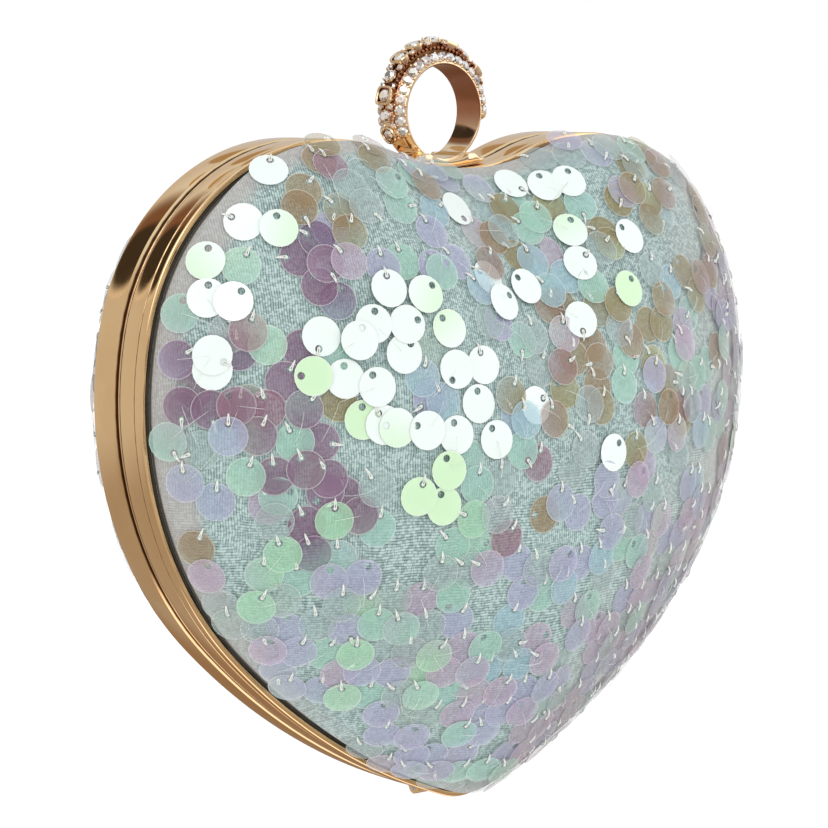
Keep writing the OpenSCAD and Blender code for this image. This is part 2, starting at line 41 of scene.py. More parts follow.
print("frame loaded")

# Lengths are millimetres up from the heart's tip, and forwards or back from the parting line.
# toRow moves them into the shared frame, whose origin is the finger ring's centre.
case = {
    "height": 140, "lobeSpread": 35, "lobeRadius": 45.5, "lobeEnd": 12,
    "flankRadius": 74, "flankEnd": -44, "tipRadius": 14, "notchRadius": 48,
    "frameDepth": 8.25, "crownHalfWidth": 65, "crownHalfHeight": 46, "crownHeight": 68,
    "ringLevel": 144.802, "ringBack": 1.0,
}
millimetre = 0.001
random = np.random.default_rng(11)


def toRow(points):
    return (np.asarray(points) - [0, case["ringBack"], case["ringLevel"]]) * millimetre


def smoothStep(value, low, high):
    t = np.clip((value - low) / (high - low), 0, 1)
    return t * t * (3 - 2 * t)


def unit(degrees):
    return np.array([math.cos(math.radians(degrees)), math.sin(math.radians(degrees))])


def bentWave(across, along, pitch, bend, slow):
    # A sine wave across, bent by a slower sine of the other direction
    return np.sin(across * pitch + bend * np.sin(along * slow))


def normalised(vectors):
    return vectors / np.linalg.norm(vectors, axis=-1, keepdims=True)


def fullTurn(count):
    return np.linspace(0, 2 * np.pi, count, endpoint=False)


def srgb(red, green, blue):
    # A colour as read on a screen, 0 to 255, turned into the linear values that shaders take
    c = np.array([red, green, blue]) / 255
    return tuple(np.where(c <= 0.04045, c / 12.92, ((c + 0.055) / 1.055) ** 2.4))


def stand(obj, right, up, back, place):
    # Puts an object at a place, turned so that its own three axes point as given
    pose = np.eye(4)
    pose[:3] = np.column_stack([right, up, back, place])
    obj.matrix_world = Matrix(pose.tolist())


# Camera, at the photograph's viewing angle. The frame is taken to be 828 x 828.
shot = {
    "azimuth": -39.704, "elevation": 6.882, "roll": -0.154, "distance": 0.623447,
    "target": (-0.006089, -0.001, -0.063220), "lens": 128.907, "sensor": 36, "frame": 828,
    "nearest": 0.01, "farthest": 30,
}


def cameraAxes():
    a, e, r = (math.radians(shot[k]) for k in ("azimuth", "elevation", "roll"))
    back = np.array([math.sin(a) * math.cos(e), -math.cos(a) * math.cos(e), math.sin(e)])
    right = normalised(np.cross(-back, [0, 0, 1]))
    up = np.cross(right, -back)
    return right * math.cos(r) + up * math.sin(r), up * math.cos(r) - right * math.sin(r), back


def toPixels(points):
    # Where points of the shared frame land in the photograph, by the pinhole rule
    right, up, back = cameraAxes()
    away = points - (np.array(shot["target"]) + back * shot["distance"])
    depth = -(away @ back)
    focal = shot["lens"] / shot["sensor"] * shot["frame"]
    return shot["frame"] / 2 + focal * np.stack([away @ right / depth, -(away @ up) / depth], -1)


cameraData = bpy.data.cameras.new("productCamera")
cameraData.lens = shot["lens"]
cameraData.sensor_width = shot["sensor"]
cameraData.clip_start = shot["nearest"]
cameraData.clip_end = shot["farthest"]
camera = bpy.data.objects.new("productCamera", cameraData)
scene.collection.objects.link(camera)
stand(camera, *cameraAxes(), np.array(shot["target"]) + cameraAxes()[2] * shot["distance"])
scene.camera = camera
print("camera placed")


# Mesh helpers

def newPiece(name, points, faces, material=None, smooth=True, outward=True):
    # points are in the shared frame; faces is a list of arrays, one row for each face
    counts = np.concatenate([np.full(len(f), f.shape[1]) for f in faces])
    corners = np.concatenate([np.asarray(f).ravel() for f in faces]).astype(np.int32)
    mesh = bpy.data.meshes.new(name)
    mesh.vertices.add(len(points))
    mesh.vertices.foreach_set("co", np.ascontiguousarray(points, dtype=np.float32).ravel())
    mesh.loops.add(len(corners))
    mesh.loops.foreach_set("vertex_index", corners)
    mesh.polygons.add(len(counts))
    mesh.polygons.foreach_set("loop_start", (np.cumsum(counts) - counts).astype(np.int32))
    mesh.update(calc_edges=True)
    mesh.validate()
    obj = bpy.data.objects.new(name, mesh)
    scene.collection.objects.link(obj)
    if outward:
        faceOutwards(mesh)
    if smooth:
        mesh.shade_smooth()
    else:
        mesh.shade_flat()
    if material:
        mesh.materials.append(material)
    return obj


def faceOutwards(mesh):
    work = bmesh.new()
    work.from_mesh(mesh)
    bmesh.ops.recalc_face_normals(work, faces=work.faces)
    work.to_mesh(mesh)
    work.free()


def gridFaces(rows, columns, closeRows, closeColumns):
    # Quads between neighbouring points of a rows x columns grid, closed on itself where asked
    i = np.arange(rows if closeRows else rows - 1)[:, None]
    j = np.arange(columns if closeColumns else columns - 1)[None]
    i2, j2 = (i + 1) % rows, (j + 1) % columns
    quads = [i * columns + j, i * columns + j2, i2 * columns + j2, i2 * columns + j]
    return np.stack(quads, -1).reshape(-1, 4)


def fanFaces(ring, pole):
    # Triangles from a closed ring of points to one pole
    return np.stack([ring, np.roll(ring, -1), np.full(len(ring), pole)], -1)


def lid(start, count, flip=False):
    # One face over a closed ring of points
    return np.arange(start, start + count)[None, ::-1 if flip else 1]


def tubeFaces(rows, columns, flip=False):
    # The faces of a tube of closed rings of points, with a lid on either end
    ends = [lid(0, columns, not flip), lid((rows - 1) * columns, columns, flip)]
    return [gridFaces(rows, columns, False, True)] + ends


def ballShape(degrees, sides):
    # A ball of radius 1: a ring of points at each height in degrees, and a pole at the top and the bottom
    turn, tilt = fullTurn(sides), np.radians(degrees)[:, None]
    rings = [np.cos(tilt) * np.cos(turn), np.cos(tilt) * np.sin(turn),
             np.broadcast_to(np.sin(tilt), (len(tilt), sides))]
    pole = len(tilt) * sides
    return (np.concatenate([np.stack(rings, -1).reshape(-1, 3), [[0, 0, 1.0], [0, 0, -1.0]]]),
            [gridFaces(len(tilt), sides, False, True), fanFaces(np.arange(pole - sides, pole), pole),
             fanFaces(np.arange(sides)[::-1], pole + 1)])


def boxShape(low, high):
    x, y, z = np.meshgrid(*zip(low, high), indexing="ij")
    sides = [[0, 1, 3, 2], [4, 6, 7, 5], [0, 4, 5, 1], [2, 3, 7, 6], [0, 2, 6, 4], [1, 5, 7, 3]]
    return np.stack([x.ravel(), y.ravel(), z.ravel()], -1), [np.array(sides)]


def atDepth(flat, depth):
    # Points of a flat outline, set at one depth
    return np.stack([flat[:, 0], np.full(len(flat), depth), flat[:, 1]], -1)


def joined(parts):
    # Puts (points, faces) parts into one, moving each part's face numbers past the points before it
    points, faces, start = [], [], 0
    for partPoints, partFaces in parts:
        points.append(partPoints)
        faces += [np.asarray(f) + start for f in partFaces]
        start += len(partPoints)
    return np.concatenate(points), faces


def copies(points, faces, places, axes):
    # One small shape repeated: points are (count, 3) in its own axes, axes are (copies, 3, 3) rows
    moved = np.einsum("pk,nkj->npj", points, axes) + places[:, None]
    shift = (np.arange(len(places)) * len(points))[:, None, None]
    return moved.reshape(-1, 3), [(f[None] + shift).reshape(-1, f.shape[1]) for f in faces]


def roundedProfile(corners, steps=6):
    # A closed outline from (x, y, radius) corners: each corner becomes a short curve
    # from the point a radius before it to the point a radius after it, pulled towards the corner
    c = np.array(corners, float)
    most = 0.49  # share of the shorter side that a corner may take
    before, after = np.roll(c, 1, 0)[:, :2] - c[:, :2], np.roll(c, -1, 0)[:, :2] - c[:, :2]
    lengthA, lengthB = np.linalg.norm(before, axis=1), np.linalg.norm(after, axis=1)
    cut = np.minimum(c[:, 2], most * np.minimum(lengthA, lengthB))[:, None, None]
    t = np.linspace(0, 1, steps)[None, :, None]
    a = c[:, None, :2] + before[:, None] / lengthA[:, None, None] * cut
    b = c[:, None, :2] + after[:, None] / lengthB[:, None, None] * cut
    return ((1 - t) ** 2 * a + 2 * t * (1 - t) * c[:, None, :2] + t ** 2 * b).reshape(-1, 2)


def mirroredProfile(corners):
    # The corners before the middle, and the same again after it
    return roundedProfile(corners + [(x, -y, radius) for x, y, radius in corners[::-1]])


def cutAway(obj, cutter):
    # Takes the cutter's shape out of the piece for good, then deletes the cutter
    modifier = obj.modifiers.new("cut", "BOOLEAN")
    modifier.operation = "DIFFERENCE"
    modifier.solver = "EXACT"
    modifier.object = cutter
    bpy.context.view_layer.update()
    mesh = bpy.data.meshes.new_from_object(obj.evaluated_get(bpy.context.evaluated_depsgraph_get()))
    obj.modifiers.clear()
    old = obj.data
    mesh.materials.clear()
    for material in old.materials:
        mesh.materials.append(material)
    obj.data = mesh
    bpy.data.meshes.remove(old)
    mesh.name = obj.name
    bpy.data.objects.remove(cutter, do_unlink=True)


def pieceParts(piece):
    # The points and faces of a piece, its faces sorted by how many corners they have
    points = np.empty(len(piece.data.vertices) * 3)
    piece.data.vertices.foreach_get("co", points)
    faces = [list(p.vertices) for p in piece.data.polygons]
    sizes = sorted(set(map(len, faces)))
    return points.reshape(-1, 3), [np.array([f for f in faces if len(f) == size]) for size in sizes]


def crispEdges(obj, degrees):
    obj.data.shade_smooth()
    obj.data.set_sharp_from_angle(angle=math.radians(degrees))


def setNumbers(piece, name, values):
    # One number for each point
    numbers = piece.data.attributes.new(name, "FLOAT", "POINT").data
    numbers.foreach_set("value", np.asarray(values, np.float32))


def setColours(piece, name, domain, colours):
    data = piece.data.color_attributes.new(name, "FLOAT_COLOR", domain).data
    data.foreach_set("color", colours.astype(np.float32).ravel())


def setMap(piece, name, places):
    # A UV map from one place for each point, used again for each copy where the points are copies
    mesh = piece.data
    corner = np.empty(len(mesh.loops), np.int32)
    mesh.loops.foreach_get("vertex_index", corner)
    spread = places[corner % len(places)].astype(np.float32)
    mesh.uv_layers.new(name=name).data.foreach_set("uv", spread.ravel())


# Shader helpers

def plug(tree, socket, value):
    # Links a node's output, or sets a plain value
    if isinstance(value, bpy.types.NodeSocket):
        tree.links.new(value, socket)
    else:
        socket.default_value = (*value[:3], 1) if socket.type == "RGBA" else value


def addNode(tree, kind, *inputs, **values):
    # inputs go into the node's first sockets in order; values name further sockets or settings
    node = tree.nodes.new(kind)
    for name, value in values.items():
        if name in node.inputs:
            plug(tree, node.inputs[name], value)
        else:
            setattr(node, name, value)
    for socket, value in zip(node.inputs, inputs):
        plug(tree, socket, value)
    return node


def mathNode(tree, operation, *inputs):
    return addNode(tree, "ShaderNodeMath", *inputs, operation=operation).outputs[0]


def mixColour(tree, factor, first, second):
    node = addNode(tree, "ShaderNodeMix", factor, data_type="RGBA")
    plug(tree, node.inputs[6], first)
    plug(tree, node.inputs[7], second)
    return node.outputs[2]


def mapRange(tree, *inputs):
    # Value, low and high, and what they become; 0 and 1 where that is left out
    return addNode(tree, "ShaderNodeMapRange", *inputs, interpolation_type="SMOOTHSTEP").outputs[0]


def noiseNode(tree, vector, scale, detail):
    return addNode(tree, "ShaderNodeTexNoise", Vector=vector, Scale=scale, Detail=detail).outputs[0]


def bumpNode(tree, height, strength, distance):
    return addNode(tree, "ShaderNodeBump", Height=height, Strength=strength, Distance=distance).outputs[0]


def objectPlace(tree):
    return addNode(tree, "ShaderNodeTexCoord").outputs["Object"]


def storedValue(tree, name):
    return addNode(tree, "ShaderNodeAttribute", attribute_name=name).outputs


def ownMap(tree, name):
    return addNode(tree, "ShaderNodeUVMap", uv_map=name).outputs[0]


def seenEdgeOn(tree, low=0.35, high=0.9):
    # 0 where a surface faces the viewer, 1 where it is seen from the side
    facing = addNode(tree, "ShaderNodeLayerWeight", Blend=0.5).outputs["Facing"]
    return mapRange(tree, facing, low, high)


def newMaterial(name):
    material = bpy.data.materials.new(name)
    material.use_nodes = True
    return material, material.node_tree


def shade(tree, values):
    for name, value in values.items():
        plug(tree, tree.nodes["Principled BSDF"].inputs[name], value)


def newGroup(name, inputs, outputs):
    group = bpy.data.node_groups.new(name, "ShaderNodeTree")
    for way, names in (("INPUT", inputs), ("OUTPUT", outputs)):
        for socket in names:
            kind = "NodeSocketVector" if socket == "Vector" else "NodeSocketFloat"
            group.interface.new_socket(socket, in_out=way, socket_type=kind)
    return group, group.nodes.new("NodeGroupInput").outputs, group.nodes.new("NodeGroupOutput").inputs


# Metals and plastics. Scale and stretch are those of the rubbed lines.
wearLook = {
    "coarser": 0.12, "scratch": (0.58, 0.72), "smudge": (0.42, 0.68), "fineDetail": 3.0, "broadDetail": 4.0,
    "scratchShare": 0.35, "metalBump": (0.05, 0.00002), "plasticScale": 600.0, "plasticDuller": 0.15,
    "grain": (2500.0, 2.0), "grainBump": (0.3, 0.0001),
}
# For roseGold and ringGold the last colour is painted shade, laid into grooves and hollows
metalLooks = {
    "roseGold": {"colour": (0.93, 0.63, 0.33), "worn": (0.90, 0.59, 0.30), "roughness": (0.045, 0.10),
                 "scale": 900.0, "stretch": 0.25, "paintedShadeColour": (0.07, 0.022, 0.008)},
    "ringGold": {"colour": (0.93, 0.71, 0.46), "worn": (0.84, 0.60, 0.37), "roughness": (0.07, 0.16),
                 "scale": 1600.0, "stretch": 1.0, "paintedShadeColour": (0.34, 0.105, 0.042)},
    "darkGold": {"colour": (0.20, 0.10, 0.045), "worn": (0.08, 0.035, 0.015), "roughness": (0.18, 0.35),
                 "scale": 1600.0, "stretch": 1.0},
    "brushedSteel": {"colour": (0.62, 0.62, 0.63), "worn": (0.52, 0.51, 0.50), "roughness": (0.22, 0.4),
                     "scale": 1500.0, "stretch": 0.1},
}
plasticLooks = {
    "mouldedBoard": {"colour": srgb(58, 52, 42), "shadow": srgb(44, 40, 33), "roughness": 0.5},
    "foam": {"colour": srgb(232, 230, 220), "shadow": srgb(214, 210, 196), "roughness": 0.9},
}


def wearGroup():
    # Fine rubbed lines and soft smudges, as handling leaves them on polished metal and plastic
    group, given, result = newGroup("handlingWear", ("Vector", "Scale", "Stretch"),
                                    ("Scratches", "Smudges"))
    stretch = addNode(group, "ShaderNodeCombineXYZ", given["Stretch"], 1.0, 1.0).outputs[0]
    drawn = addNode(group, "ShaderNodeVectorMath", given["Vector"], stretch,
                    operation="MULTIPLY").outputs[0]
    fine = noiseNode(group, drawn, given["Scale"], wearLook["fineDetail"])
    coarse = mathNode(group, "MULTIPLY", given["Scale"], wearLook["coarser"])
    broad = noiseNode(group, given["Vector"], coarse, wearLook["broadDetail"])
    plug(group, result["Scratches"], mapRange(group, fine, *wearLook["scratch"]))
    plug(group, result["Smudges"], mapRange(group, broad, *wearLook["smudge"]))
    return group


handlingWear = wearGroup()


def wearNode(tree, scale, stretch):
    return addNode(tree, "ShaderNodeGroup", node_tree=handlingWear, Vector=objectPlace(tree),
                   Scale=scale, Stretch=stretch).outputs


def polishedMetal(name, colour, worn, roughness, scale, stretch, paintedShadeColour=None):
    # painted shade: the metal is darkened towards a shade colour where the piece's stored share says that a
    # groove or hollow lies
    material, tree = newMaterial(name)
    scratches, smudges = wearNode(tree, scale, stretch)
    lines = mathNode(tree, "MULTIPLY", scratches, wearLook["scratchShare"])
    marks = mathNode(tree, "MAXIMUM", lines, smudges)
    tone = mixColour(tree, smudges, colour, worn)
    if paintedShadeColour:
        tone = mixColour(tree, storedValue(tree, "paintedShade")["Fac"], tone, paintedShadeColour)
    shade(tree, {"Base Color": tone, "Metallic": 1.0, "Roughness": mapRange(tree, marks, 0, 1, *roughness),
                 "Normal": bumpNode(tree, scratches, *wearLook["metalBump"])})
    return material


def softPlastic(name, colour, shadow, roughness):
    material, tree = newMaterial(name)
    scratches, smudges = wearNode(tree, wearLook["plasticScale"], 1.0)
    grain = noiseNode(tree, objectPlace(tree), *wearLook["grain"])
    duller = roughness + wearLook["plasticDuller"]
    shade(tree, {"Base Color": mixColour(tree, smudges, colour, shadow),
                 "Roughness": mapRange(tree, scratches, 0, 1, roughness, duller),
                 "Normal": bumpNode(tree, grain, *wearLook["grainBump"])})
    return material


metal = {name: polishedMetal(name, **look) for name, look in metalLooks.items()}
plastic = {name: softPlastic(name, **look) for name, look in plasticLooks.items()}
print("metals and plastics ready")


# Heart outline

def notchRise():
    # How far the centre of the hollow's curve lies above the lobes' centres
    return math.sqrt((case["notchRadius"] + case["lobeRadius"]) ** 2 - case["lobeSpread"] ** 2)


def heartPath(steps):
    # Five arcs on each side, each leaving in the direction in which the last one ended: hollow, lobe,
    # upper flank, lower side, tip. Places are spread evenly by length, clockwise from the hollow.
    lobeRadius, flankRadius, tipRadius = case["lobeRadius"], case["flankRadius"], case["tipRadius"]
    lobe = np.array([case["lobeSpread"], case["height"] - lobeRadius])
    notchEnd = math.degrees(math.atan2(-notchRise(), case["lobeSpread"]))
    tip = np.array([0, tipRadius])
    flank = lobe + (lobeRadius - flankRadius) * unit(case["lobeEnd"])
    lastRay = unit(case["flankEnd"])
    flankEnd = flank + flankRadius * lastRay
    fromTip = flankEnd - tip
    sideRadius = (fromTip @ fromTip - tipRadius ** 2) / (2 * (lastRay @ fromTip - tipRadius))
    side = flankEnd - sideRadius * lastRay
    sideEnd = math.degrees(math.atan2(*(tip - side)[::-1]))
    # each arc: centre, radius, first and last angle, and 1 where it bulges or -1 where it is hollow
    arcs = np.array([
        [0, lobe[1] + notchRise(), case["notchRadius"], -90, notchEnd, -1],
        [*lobe, lobeRadius, notchEnd + 180, case["lobeEnd"], 1],
        [*flank, flankRadius, case["lobeEnd"], case["flankEnd"], 1],
        [*side, sideRadius, case["flankEnd"], sideEnd, 1],
        [*tip, tipRadius, sideEnd, -90, 1],
    ])
    lengths = arcs[:, 2] * np.radians(np.abs(arcs[:, 4] - arcs[:, 3]))
    ends = np.cumsum(lengths)
    at = np.linspace(0, ends[-1], steps // 2 + 1)
    k = np.minimum(np.searchsorted(ends, at, side="right"), len(arcs) - 1)
    angle = np.radians(arcs[k, 3] + (arcs[k, 4] - arcs[k, 3]) * (at - ends[k] + lengths[k]) / lengths[k])
    ray = np.stack([np.cos(angle), np.sin(angle)], 1)
    points = arcs[k, :2] + arcs[k, 2:3] * ray
    normals = ray * arcs[k, 5:6]
    mirror = np.array([-1, 1])
    return (np.concatenate([points, points[-2:0:-1] * mirror]),
            np.concatenate([normals, normals[-2:0:-1] * mirror]))


outline, outlineNormals = heartPath(480)


def sweptRing(profile, half):
    # A profile of (inset, depth) points carried round the outline: each point lies inset from the
    # outline along its normal, and depth before (half -1) or behind (half 1) the parting line
    inset, depth = profile.T
    flat = outline[:, None] - inset[None, :, None] * outlineNormals[:, None]
    y = np.broadcast_to(half * depth, flat.shape[:2])
    points = np.stack([flat[..., 0], y, flat[..., 1]], -1).reshape(-1, 3)
    return points, [gridFaces(len(outline), len(profile), True, True)]


# Frames: two polished bands with rounded lips, a ledge along the parting line and a web at the tip
frameLook = {
    "wall": 1.2, "ledge": 3.2, "gap": 0.15, "ledgeFace": 1.35, "lip": 0.28, "lipEnd": 0.55,
    "grooveDepth": 0.75, "beadStart": 5.95, "beadGroove": 0.28,
    "webTop": 17, "webOverlap": 0.1, "webFloor": 0.4,
    "slotHalf": 2.3, "slotFront": 4.4, "slotBack": 0.5, "slotHeights": (126, 140),
    "hingeHalf": 6.8, "hingeTop": 3.5, "hingeDepth": 2.45, "hingeBack": 0.6, "belowTip": -2,
}
# Where the frames get painted shade: how far in from the outline, and how near the parting line or the
# bead's start
frameShadeLook = {"seam": (0.3, 0.5), "seamReach": 1.4, "bead": (0.12, 0.26), "beadReach": 0.3,
              "insideFrom": 1.15, "inside": 0.25}


def frameProfile(half):
    # Corners are (inset from the outline, depth from the parting line, rounding)
    look, depth, end, bead = frameLook, case["frameDepth"], frameLook["lipEnd"], frameLook["beadStart"]
    groove, beadGroove = look["grooveDepth"], look["beadGroove"]
    front = [
        (look["lip"], look["gap"], 0.2), (look["lip"], end, 0.16),
        (groove, end + 0.12, 0.08), (groove, end + 0.32, 0.08), (0.1, end + 0.5, 0.3),
        (0.0, 3.3, 2.4), (0.09, bead - 0.2, 0.12), (beadGroove, bead - 0.1, 0.05),
        (beadGroove, bead + 0.05, 0.05), (0, bead + 0.2, 0.6), (0, depth - 0.1, 0.75),
        (0.75, depth, 0.2), (look["wall"], depth, 0.25),
    ]
    back = [
        (0.85, look["gap"], 0.1), (0.62, 0.45, 0.15), (0.42, 0.95, 0.2), (0.1, 1.35, 0.3),
        (0.0, 4.6, 3.0), (0.1, depth - 0.3, 0.4), (0.5, depth, 0.4), (look["wall"], depth, 0.4),
    ]
    inside = [(look["wall"], look["ledgeFace"], 0.1), (look["ledge"], look["ledgeFace"], 0.2)]
    return roundedProfile([(look["ledge"], look["gap"], 0.15)] + (front if half < 0 else back) + inside)


def webPlate(half):
    # The part of the inner outline below the web's top edge, as a flat plate without the hinge's gap
    look = frameLook
    inner = outline - (look["wall"] - look["webOverlap"]) * outlineNormals
    low = inner[(inner[:, 1] < look["webTop"]) & (inner[:, 0] > look["hingeHalf"])]
    gap = [[look["hingeHalf"], inner[:, 1].min() + look["webFloor"]], [look["hingeHalf"], look["hingeTop"]]]
    edge = np.concatenate([low, gap])
    edge = np.concatenate([edge, edge[::-1] * [-1, 1]])
    count = len(edge)
    points = np.concatenate([atDepth(edge, half * depth) for depth in (look["gap"], look["ledgeFace"])])
    return toRow(points), [gridFaces(2, count, False, True), lid(0, count), lid(count, count)]


def framePaintedShade(local, half):
    # Painted shade: grooves near the parting line and under the front's bead are dark, and the inside is
    # darkened a little
    look = frameShadeLook
    nearest = np.linalg.norm(local[:, None, ::2] - outline[None, ::4], axis=-1).argmin(1) * 4
    inset = ((outline[nearest] - local[:, ::2]) * outlineNormals[nearest]).sum(1)
    depth = np.abs(local[:, 1])
    seam = smoothStep(inset, *look["seam"]) * (depth < look["seamReach"])
    bead = smoothStep(inset, *look["bead"]) * (np.abs(depth - frameLook["beadStart"]) < look["beadReach"])
    return np.where(inset > look["insideFrom"], look["inside"], np.maximum(seam, bead * (half < 0)))


for half, side in ((-1, "front"), (1, "back")):
    look = frameLook
    points, faces = sweptRing(frameProfile(half), half)
    piece = newPiece(side + "Frame", toRow(points), faces)
    near, far = sorted((-half * look["hingeBack"], half * look["hingeDepth"]))
    gaps = [((-look["hingeHalf"], near, look["belowTip"]), (look["hingeHalf"], far, look["hingeTop"]))]
    if half < 0:
        low, high = look["slotHeights"]
        gaps.append(((-look["slotHalf"], -look["slotFront"], low),
                     (look["slotHalf"], look["slotBack"], high)))
    for corners in gaps:
        points, faces = boxShape(*corners)
        cutAway(piece, newPiece("cutter", toRow(points), faces, smooth=False))
    band = pieceParts(piece)
    bpy.data.objects.remove(piece, do_unlink=True)
    points, faces = joined([band, webPlate(half)])
    piece = newPiece(side + "Frame", points, faces, metal["roseGold"])
    crispEdges(piece, 40)
    # painted shade in the grooves and on the inside, one share for each point
    paintedShade = np.zeros(len(points))
    local = band[0] / millimetre + [0, case["ringBack"], case["ringLevel"]]
    paintedShade[:len(local)] = framePaintedShade(local, half)
    setNumbers(piece, "paintedShade", paintedShade)
    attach(piece, side + "_half")
    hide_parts(side + "_frame")
print("frames built")


# Domes: each layer is the heart's outline drawn in, turning into an oval and rising to the middle.
# Ramps say over which slopes of the outline the sides' puff becomes the top's or the tip's.
domeLook = {"turn": 2, "flatness": 2.3, "fullness": 1.4, "swell": (0.0, 0.016), "swellEnd": (0.03, 0.22),
            "topRamp": (0.5, 0.93), "tipRamp": (0.5, 0.95), "crowding": 1.8, "creaseAngle": 50}
fabricLook = {"inset": 1.9, "depth": 32, "inner": 2.65, "innerDepth": 31.1, "rings": 84, "innerRings": 24,
              "pucker": 0.16, "puckerFade": (0.004, 0.08), "acrossWave": (0.35, 2, 0.11),
              "upWave": (0.55, 1.7, 0.07), "slantWave": (1.3, 0.21), "waveHeights": (0.5, 0.8, 0.35),
              "puffSides": 0.6, "puffTop": 3.0, "puffTip": 1.6}
foamLook = {"inset": 2.75, "depth": 30.9, "inner": 4.25, "innerDepth": 29.5, "rings": 30, "innerRings": 24}
liningLook = {"inset": 5.95, "depth": 27.75, "inner": 6.35, "innerDepth": 27.35, "rings": 30,
              "innerRings": 30, "skirt": 2.85, "skirtInner": 3.25, "start": 2.35, "shoulder": 6.6,
              "thickness": 0.4}


def domeShape(inset, depth, sides=0, top=0, tip=0):
    # The rim as seen from the middle, sorted by angle, the height over the frame's edge, and the puff:
    # how far the edge swells over the frame's bead at the sides, where it faces up and where it faces down
    rim = outline - inset * outlineNormals - [0, case["crownHeight"]]
    angles = np.arctan2(rim[:, 1], rim[:, 0])
    order = np.argsort(angles)
    puff = sides + ((top - sides) * smoothStep(outlineNormals[:, 1], *domeLook["topRamp"])
                    + (tip - sides) * smoothStep(-outlineNormals[:, 1], *domeLook["tipRamp"]))
    return {"angles": angles[order], "reach": np.linalg.norm(rim, axis=1)[order], "depth": depth,
            "puff": puff[order]}


def domeAt(shape, angle, share):
    # Along a ray from the middle, share 1 is the rim and 0 the middle. The reach goes over from the
    # heart's to the oval's as (1 - share) to the power turn, and the height over the frame's edge is
    # depth * (1 - share^flatness)^(1/fullness). The puff is added just inside the rim and fades inwards.
    look = domeLook
    angle, share = np.broadcast_arrays(angle, share)
    reach, puff = (np.interp(angle, shape["angles"], shape[key], period=2 * np.pi)
                   for key in ("reach", "puff"))
    oval = 1 / np.hypot(np.cos(angle) / case["crownHalfWidth"], np.sin(angle) / case["crownHalfHeight"])
    turn = (1 - share) ** look["turn"]
    swell = smoothStep(1 - share, *look["swell"]) * (1 - smoothStep(1 - share, *look["swellEnd"]))
    radius = share * ((1 - turn) * reach + turn * oval) + swell * puff
    height = shape["depth"] * np.maximum(1 - share ** look["flatness"], 0) ** (1 / look["fullness"])
    return np.stack([radius * np.cos(angle), case["frameDepth"] + height,
                     case["crownHeight"] + radius * np.sin(angle)], -1)


def domeNormal(shape, angle, share):
    # Across the slopes along and round the rays, pointing away from the case
    step = 1e-4
    along = domeAt(shape, angle, share + step) - domeAt(shape, angle, share - step)
    around = domeAt(shape, angle + step, share) - domeAt(shape, angle - step, share)
    normal = np.cross(around, along)
    return normalised(normal * np.sign(normal[..., 1:2]))


def domeLayer(shape, shares):
    # Rings of points from the rim inwards, a pole, and where each point lies on the spread-out cloth
    points = domeAt(shape, rimAngles[None], shares[:, None])
    pole = domeAt(shape, np.zeros(1), np.zeros(1))
    steps = np.diff(np.concatenate([points, np.broadcast_to(pole, points[:1].shape)]), axis=0)
    length = np.cumsum(np.linalg.norm(steps, axis=-1)[::-1], axis=0)[::-1]
    return points, pole, np.stack([length * np.cos(rimAngles), length * np.sin(rimAngles)], -1)


def ringShares(rings):
    # Shares that crowd together near the rim
    return 1 - np.linspace(0, 1, rings + 1)[:-1] ** domeLook["crowding"]


rimAngles = np.arctan2(*(outline - [0, case["crownHeight"]]).T[::-1])[::2]


def closedDome(name, half, look, outer, material, pucker=0.0, skirt=()):
    # An outer and an inner skin joined at the rim. Puckers are low waves along the normal: one across
    # the cloth and two up it, each bent by the other direction.
    columns = len(rimAngles)
    shares = ringShares(look["rings"])
    pointsOut, poleOut, flatOut = domeLayer(outer, shares)
    if pucker:
        x, y = flatOut[..., 0], flatOut[..., 1]
        steep, slow = look["slantWave"]
        waves = (bentWave(x, y, *look["acrossWave"]), bentWave(y, x, *look["upWave"]),
                 np.sin(y * steep + x * slow))
        wave = sum(wave * height for wave, height in zip(waves, look["waveHeights"]))
        fade = smoothStep(1 - shares, *look["puckerFade"])[:, None]
        normal = domeNormal(outer, rimAngles[None], np.minimum(shares, 0.999)[:, None])
        pointsOut = pointsOut + normal * (fade * wave * pucker)[..., None]
    inner = domeShape(look["inner"], look["innerDepth"])
    pointsIn, poleIn, flatIn = domeLayer(inner, ringShares(look["innerRings"]))
    points = np.concatenate([pointsOut[::-1].reshape(-1, 3), *skirt, pointsIn.reshape(-1, 3),
                             poleOut, poleIn])
    points[:, 1] *= half
    count = (len(points) - 2) // columns
    ring, pole = np.arange(columns), count * columns
    faces = [gridFaces(count, columns, False, True), fanFaces(ring, pole),
             fanFaces(ring[::-1] + pole - columns, pole + 1)]
    piece = newPiece(name, toRow(points), faces, material)
    # how near each point of the outer skin is to the rim
    edge = np.zeros(len(points))
    edge[:len(shares) * columns] = np.repeat(shares[::-1], columns)
    setNumbers(piece, "rimShare", edge)
    flats = ([flatOut[::-1].reshape(-1, 2)] + [flatOut[0]] * len(skirt)
             + [flatIn.reshape(-1, 2), np.zeros((2, 2))])
    setMap(piece, "spread", np.concatenate(flats) / mapUnit)
    return piece


# Cloth. Its map is the cloth spread out flat, with mapUnit millimetres to the unit.
mapUnit = 100
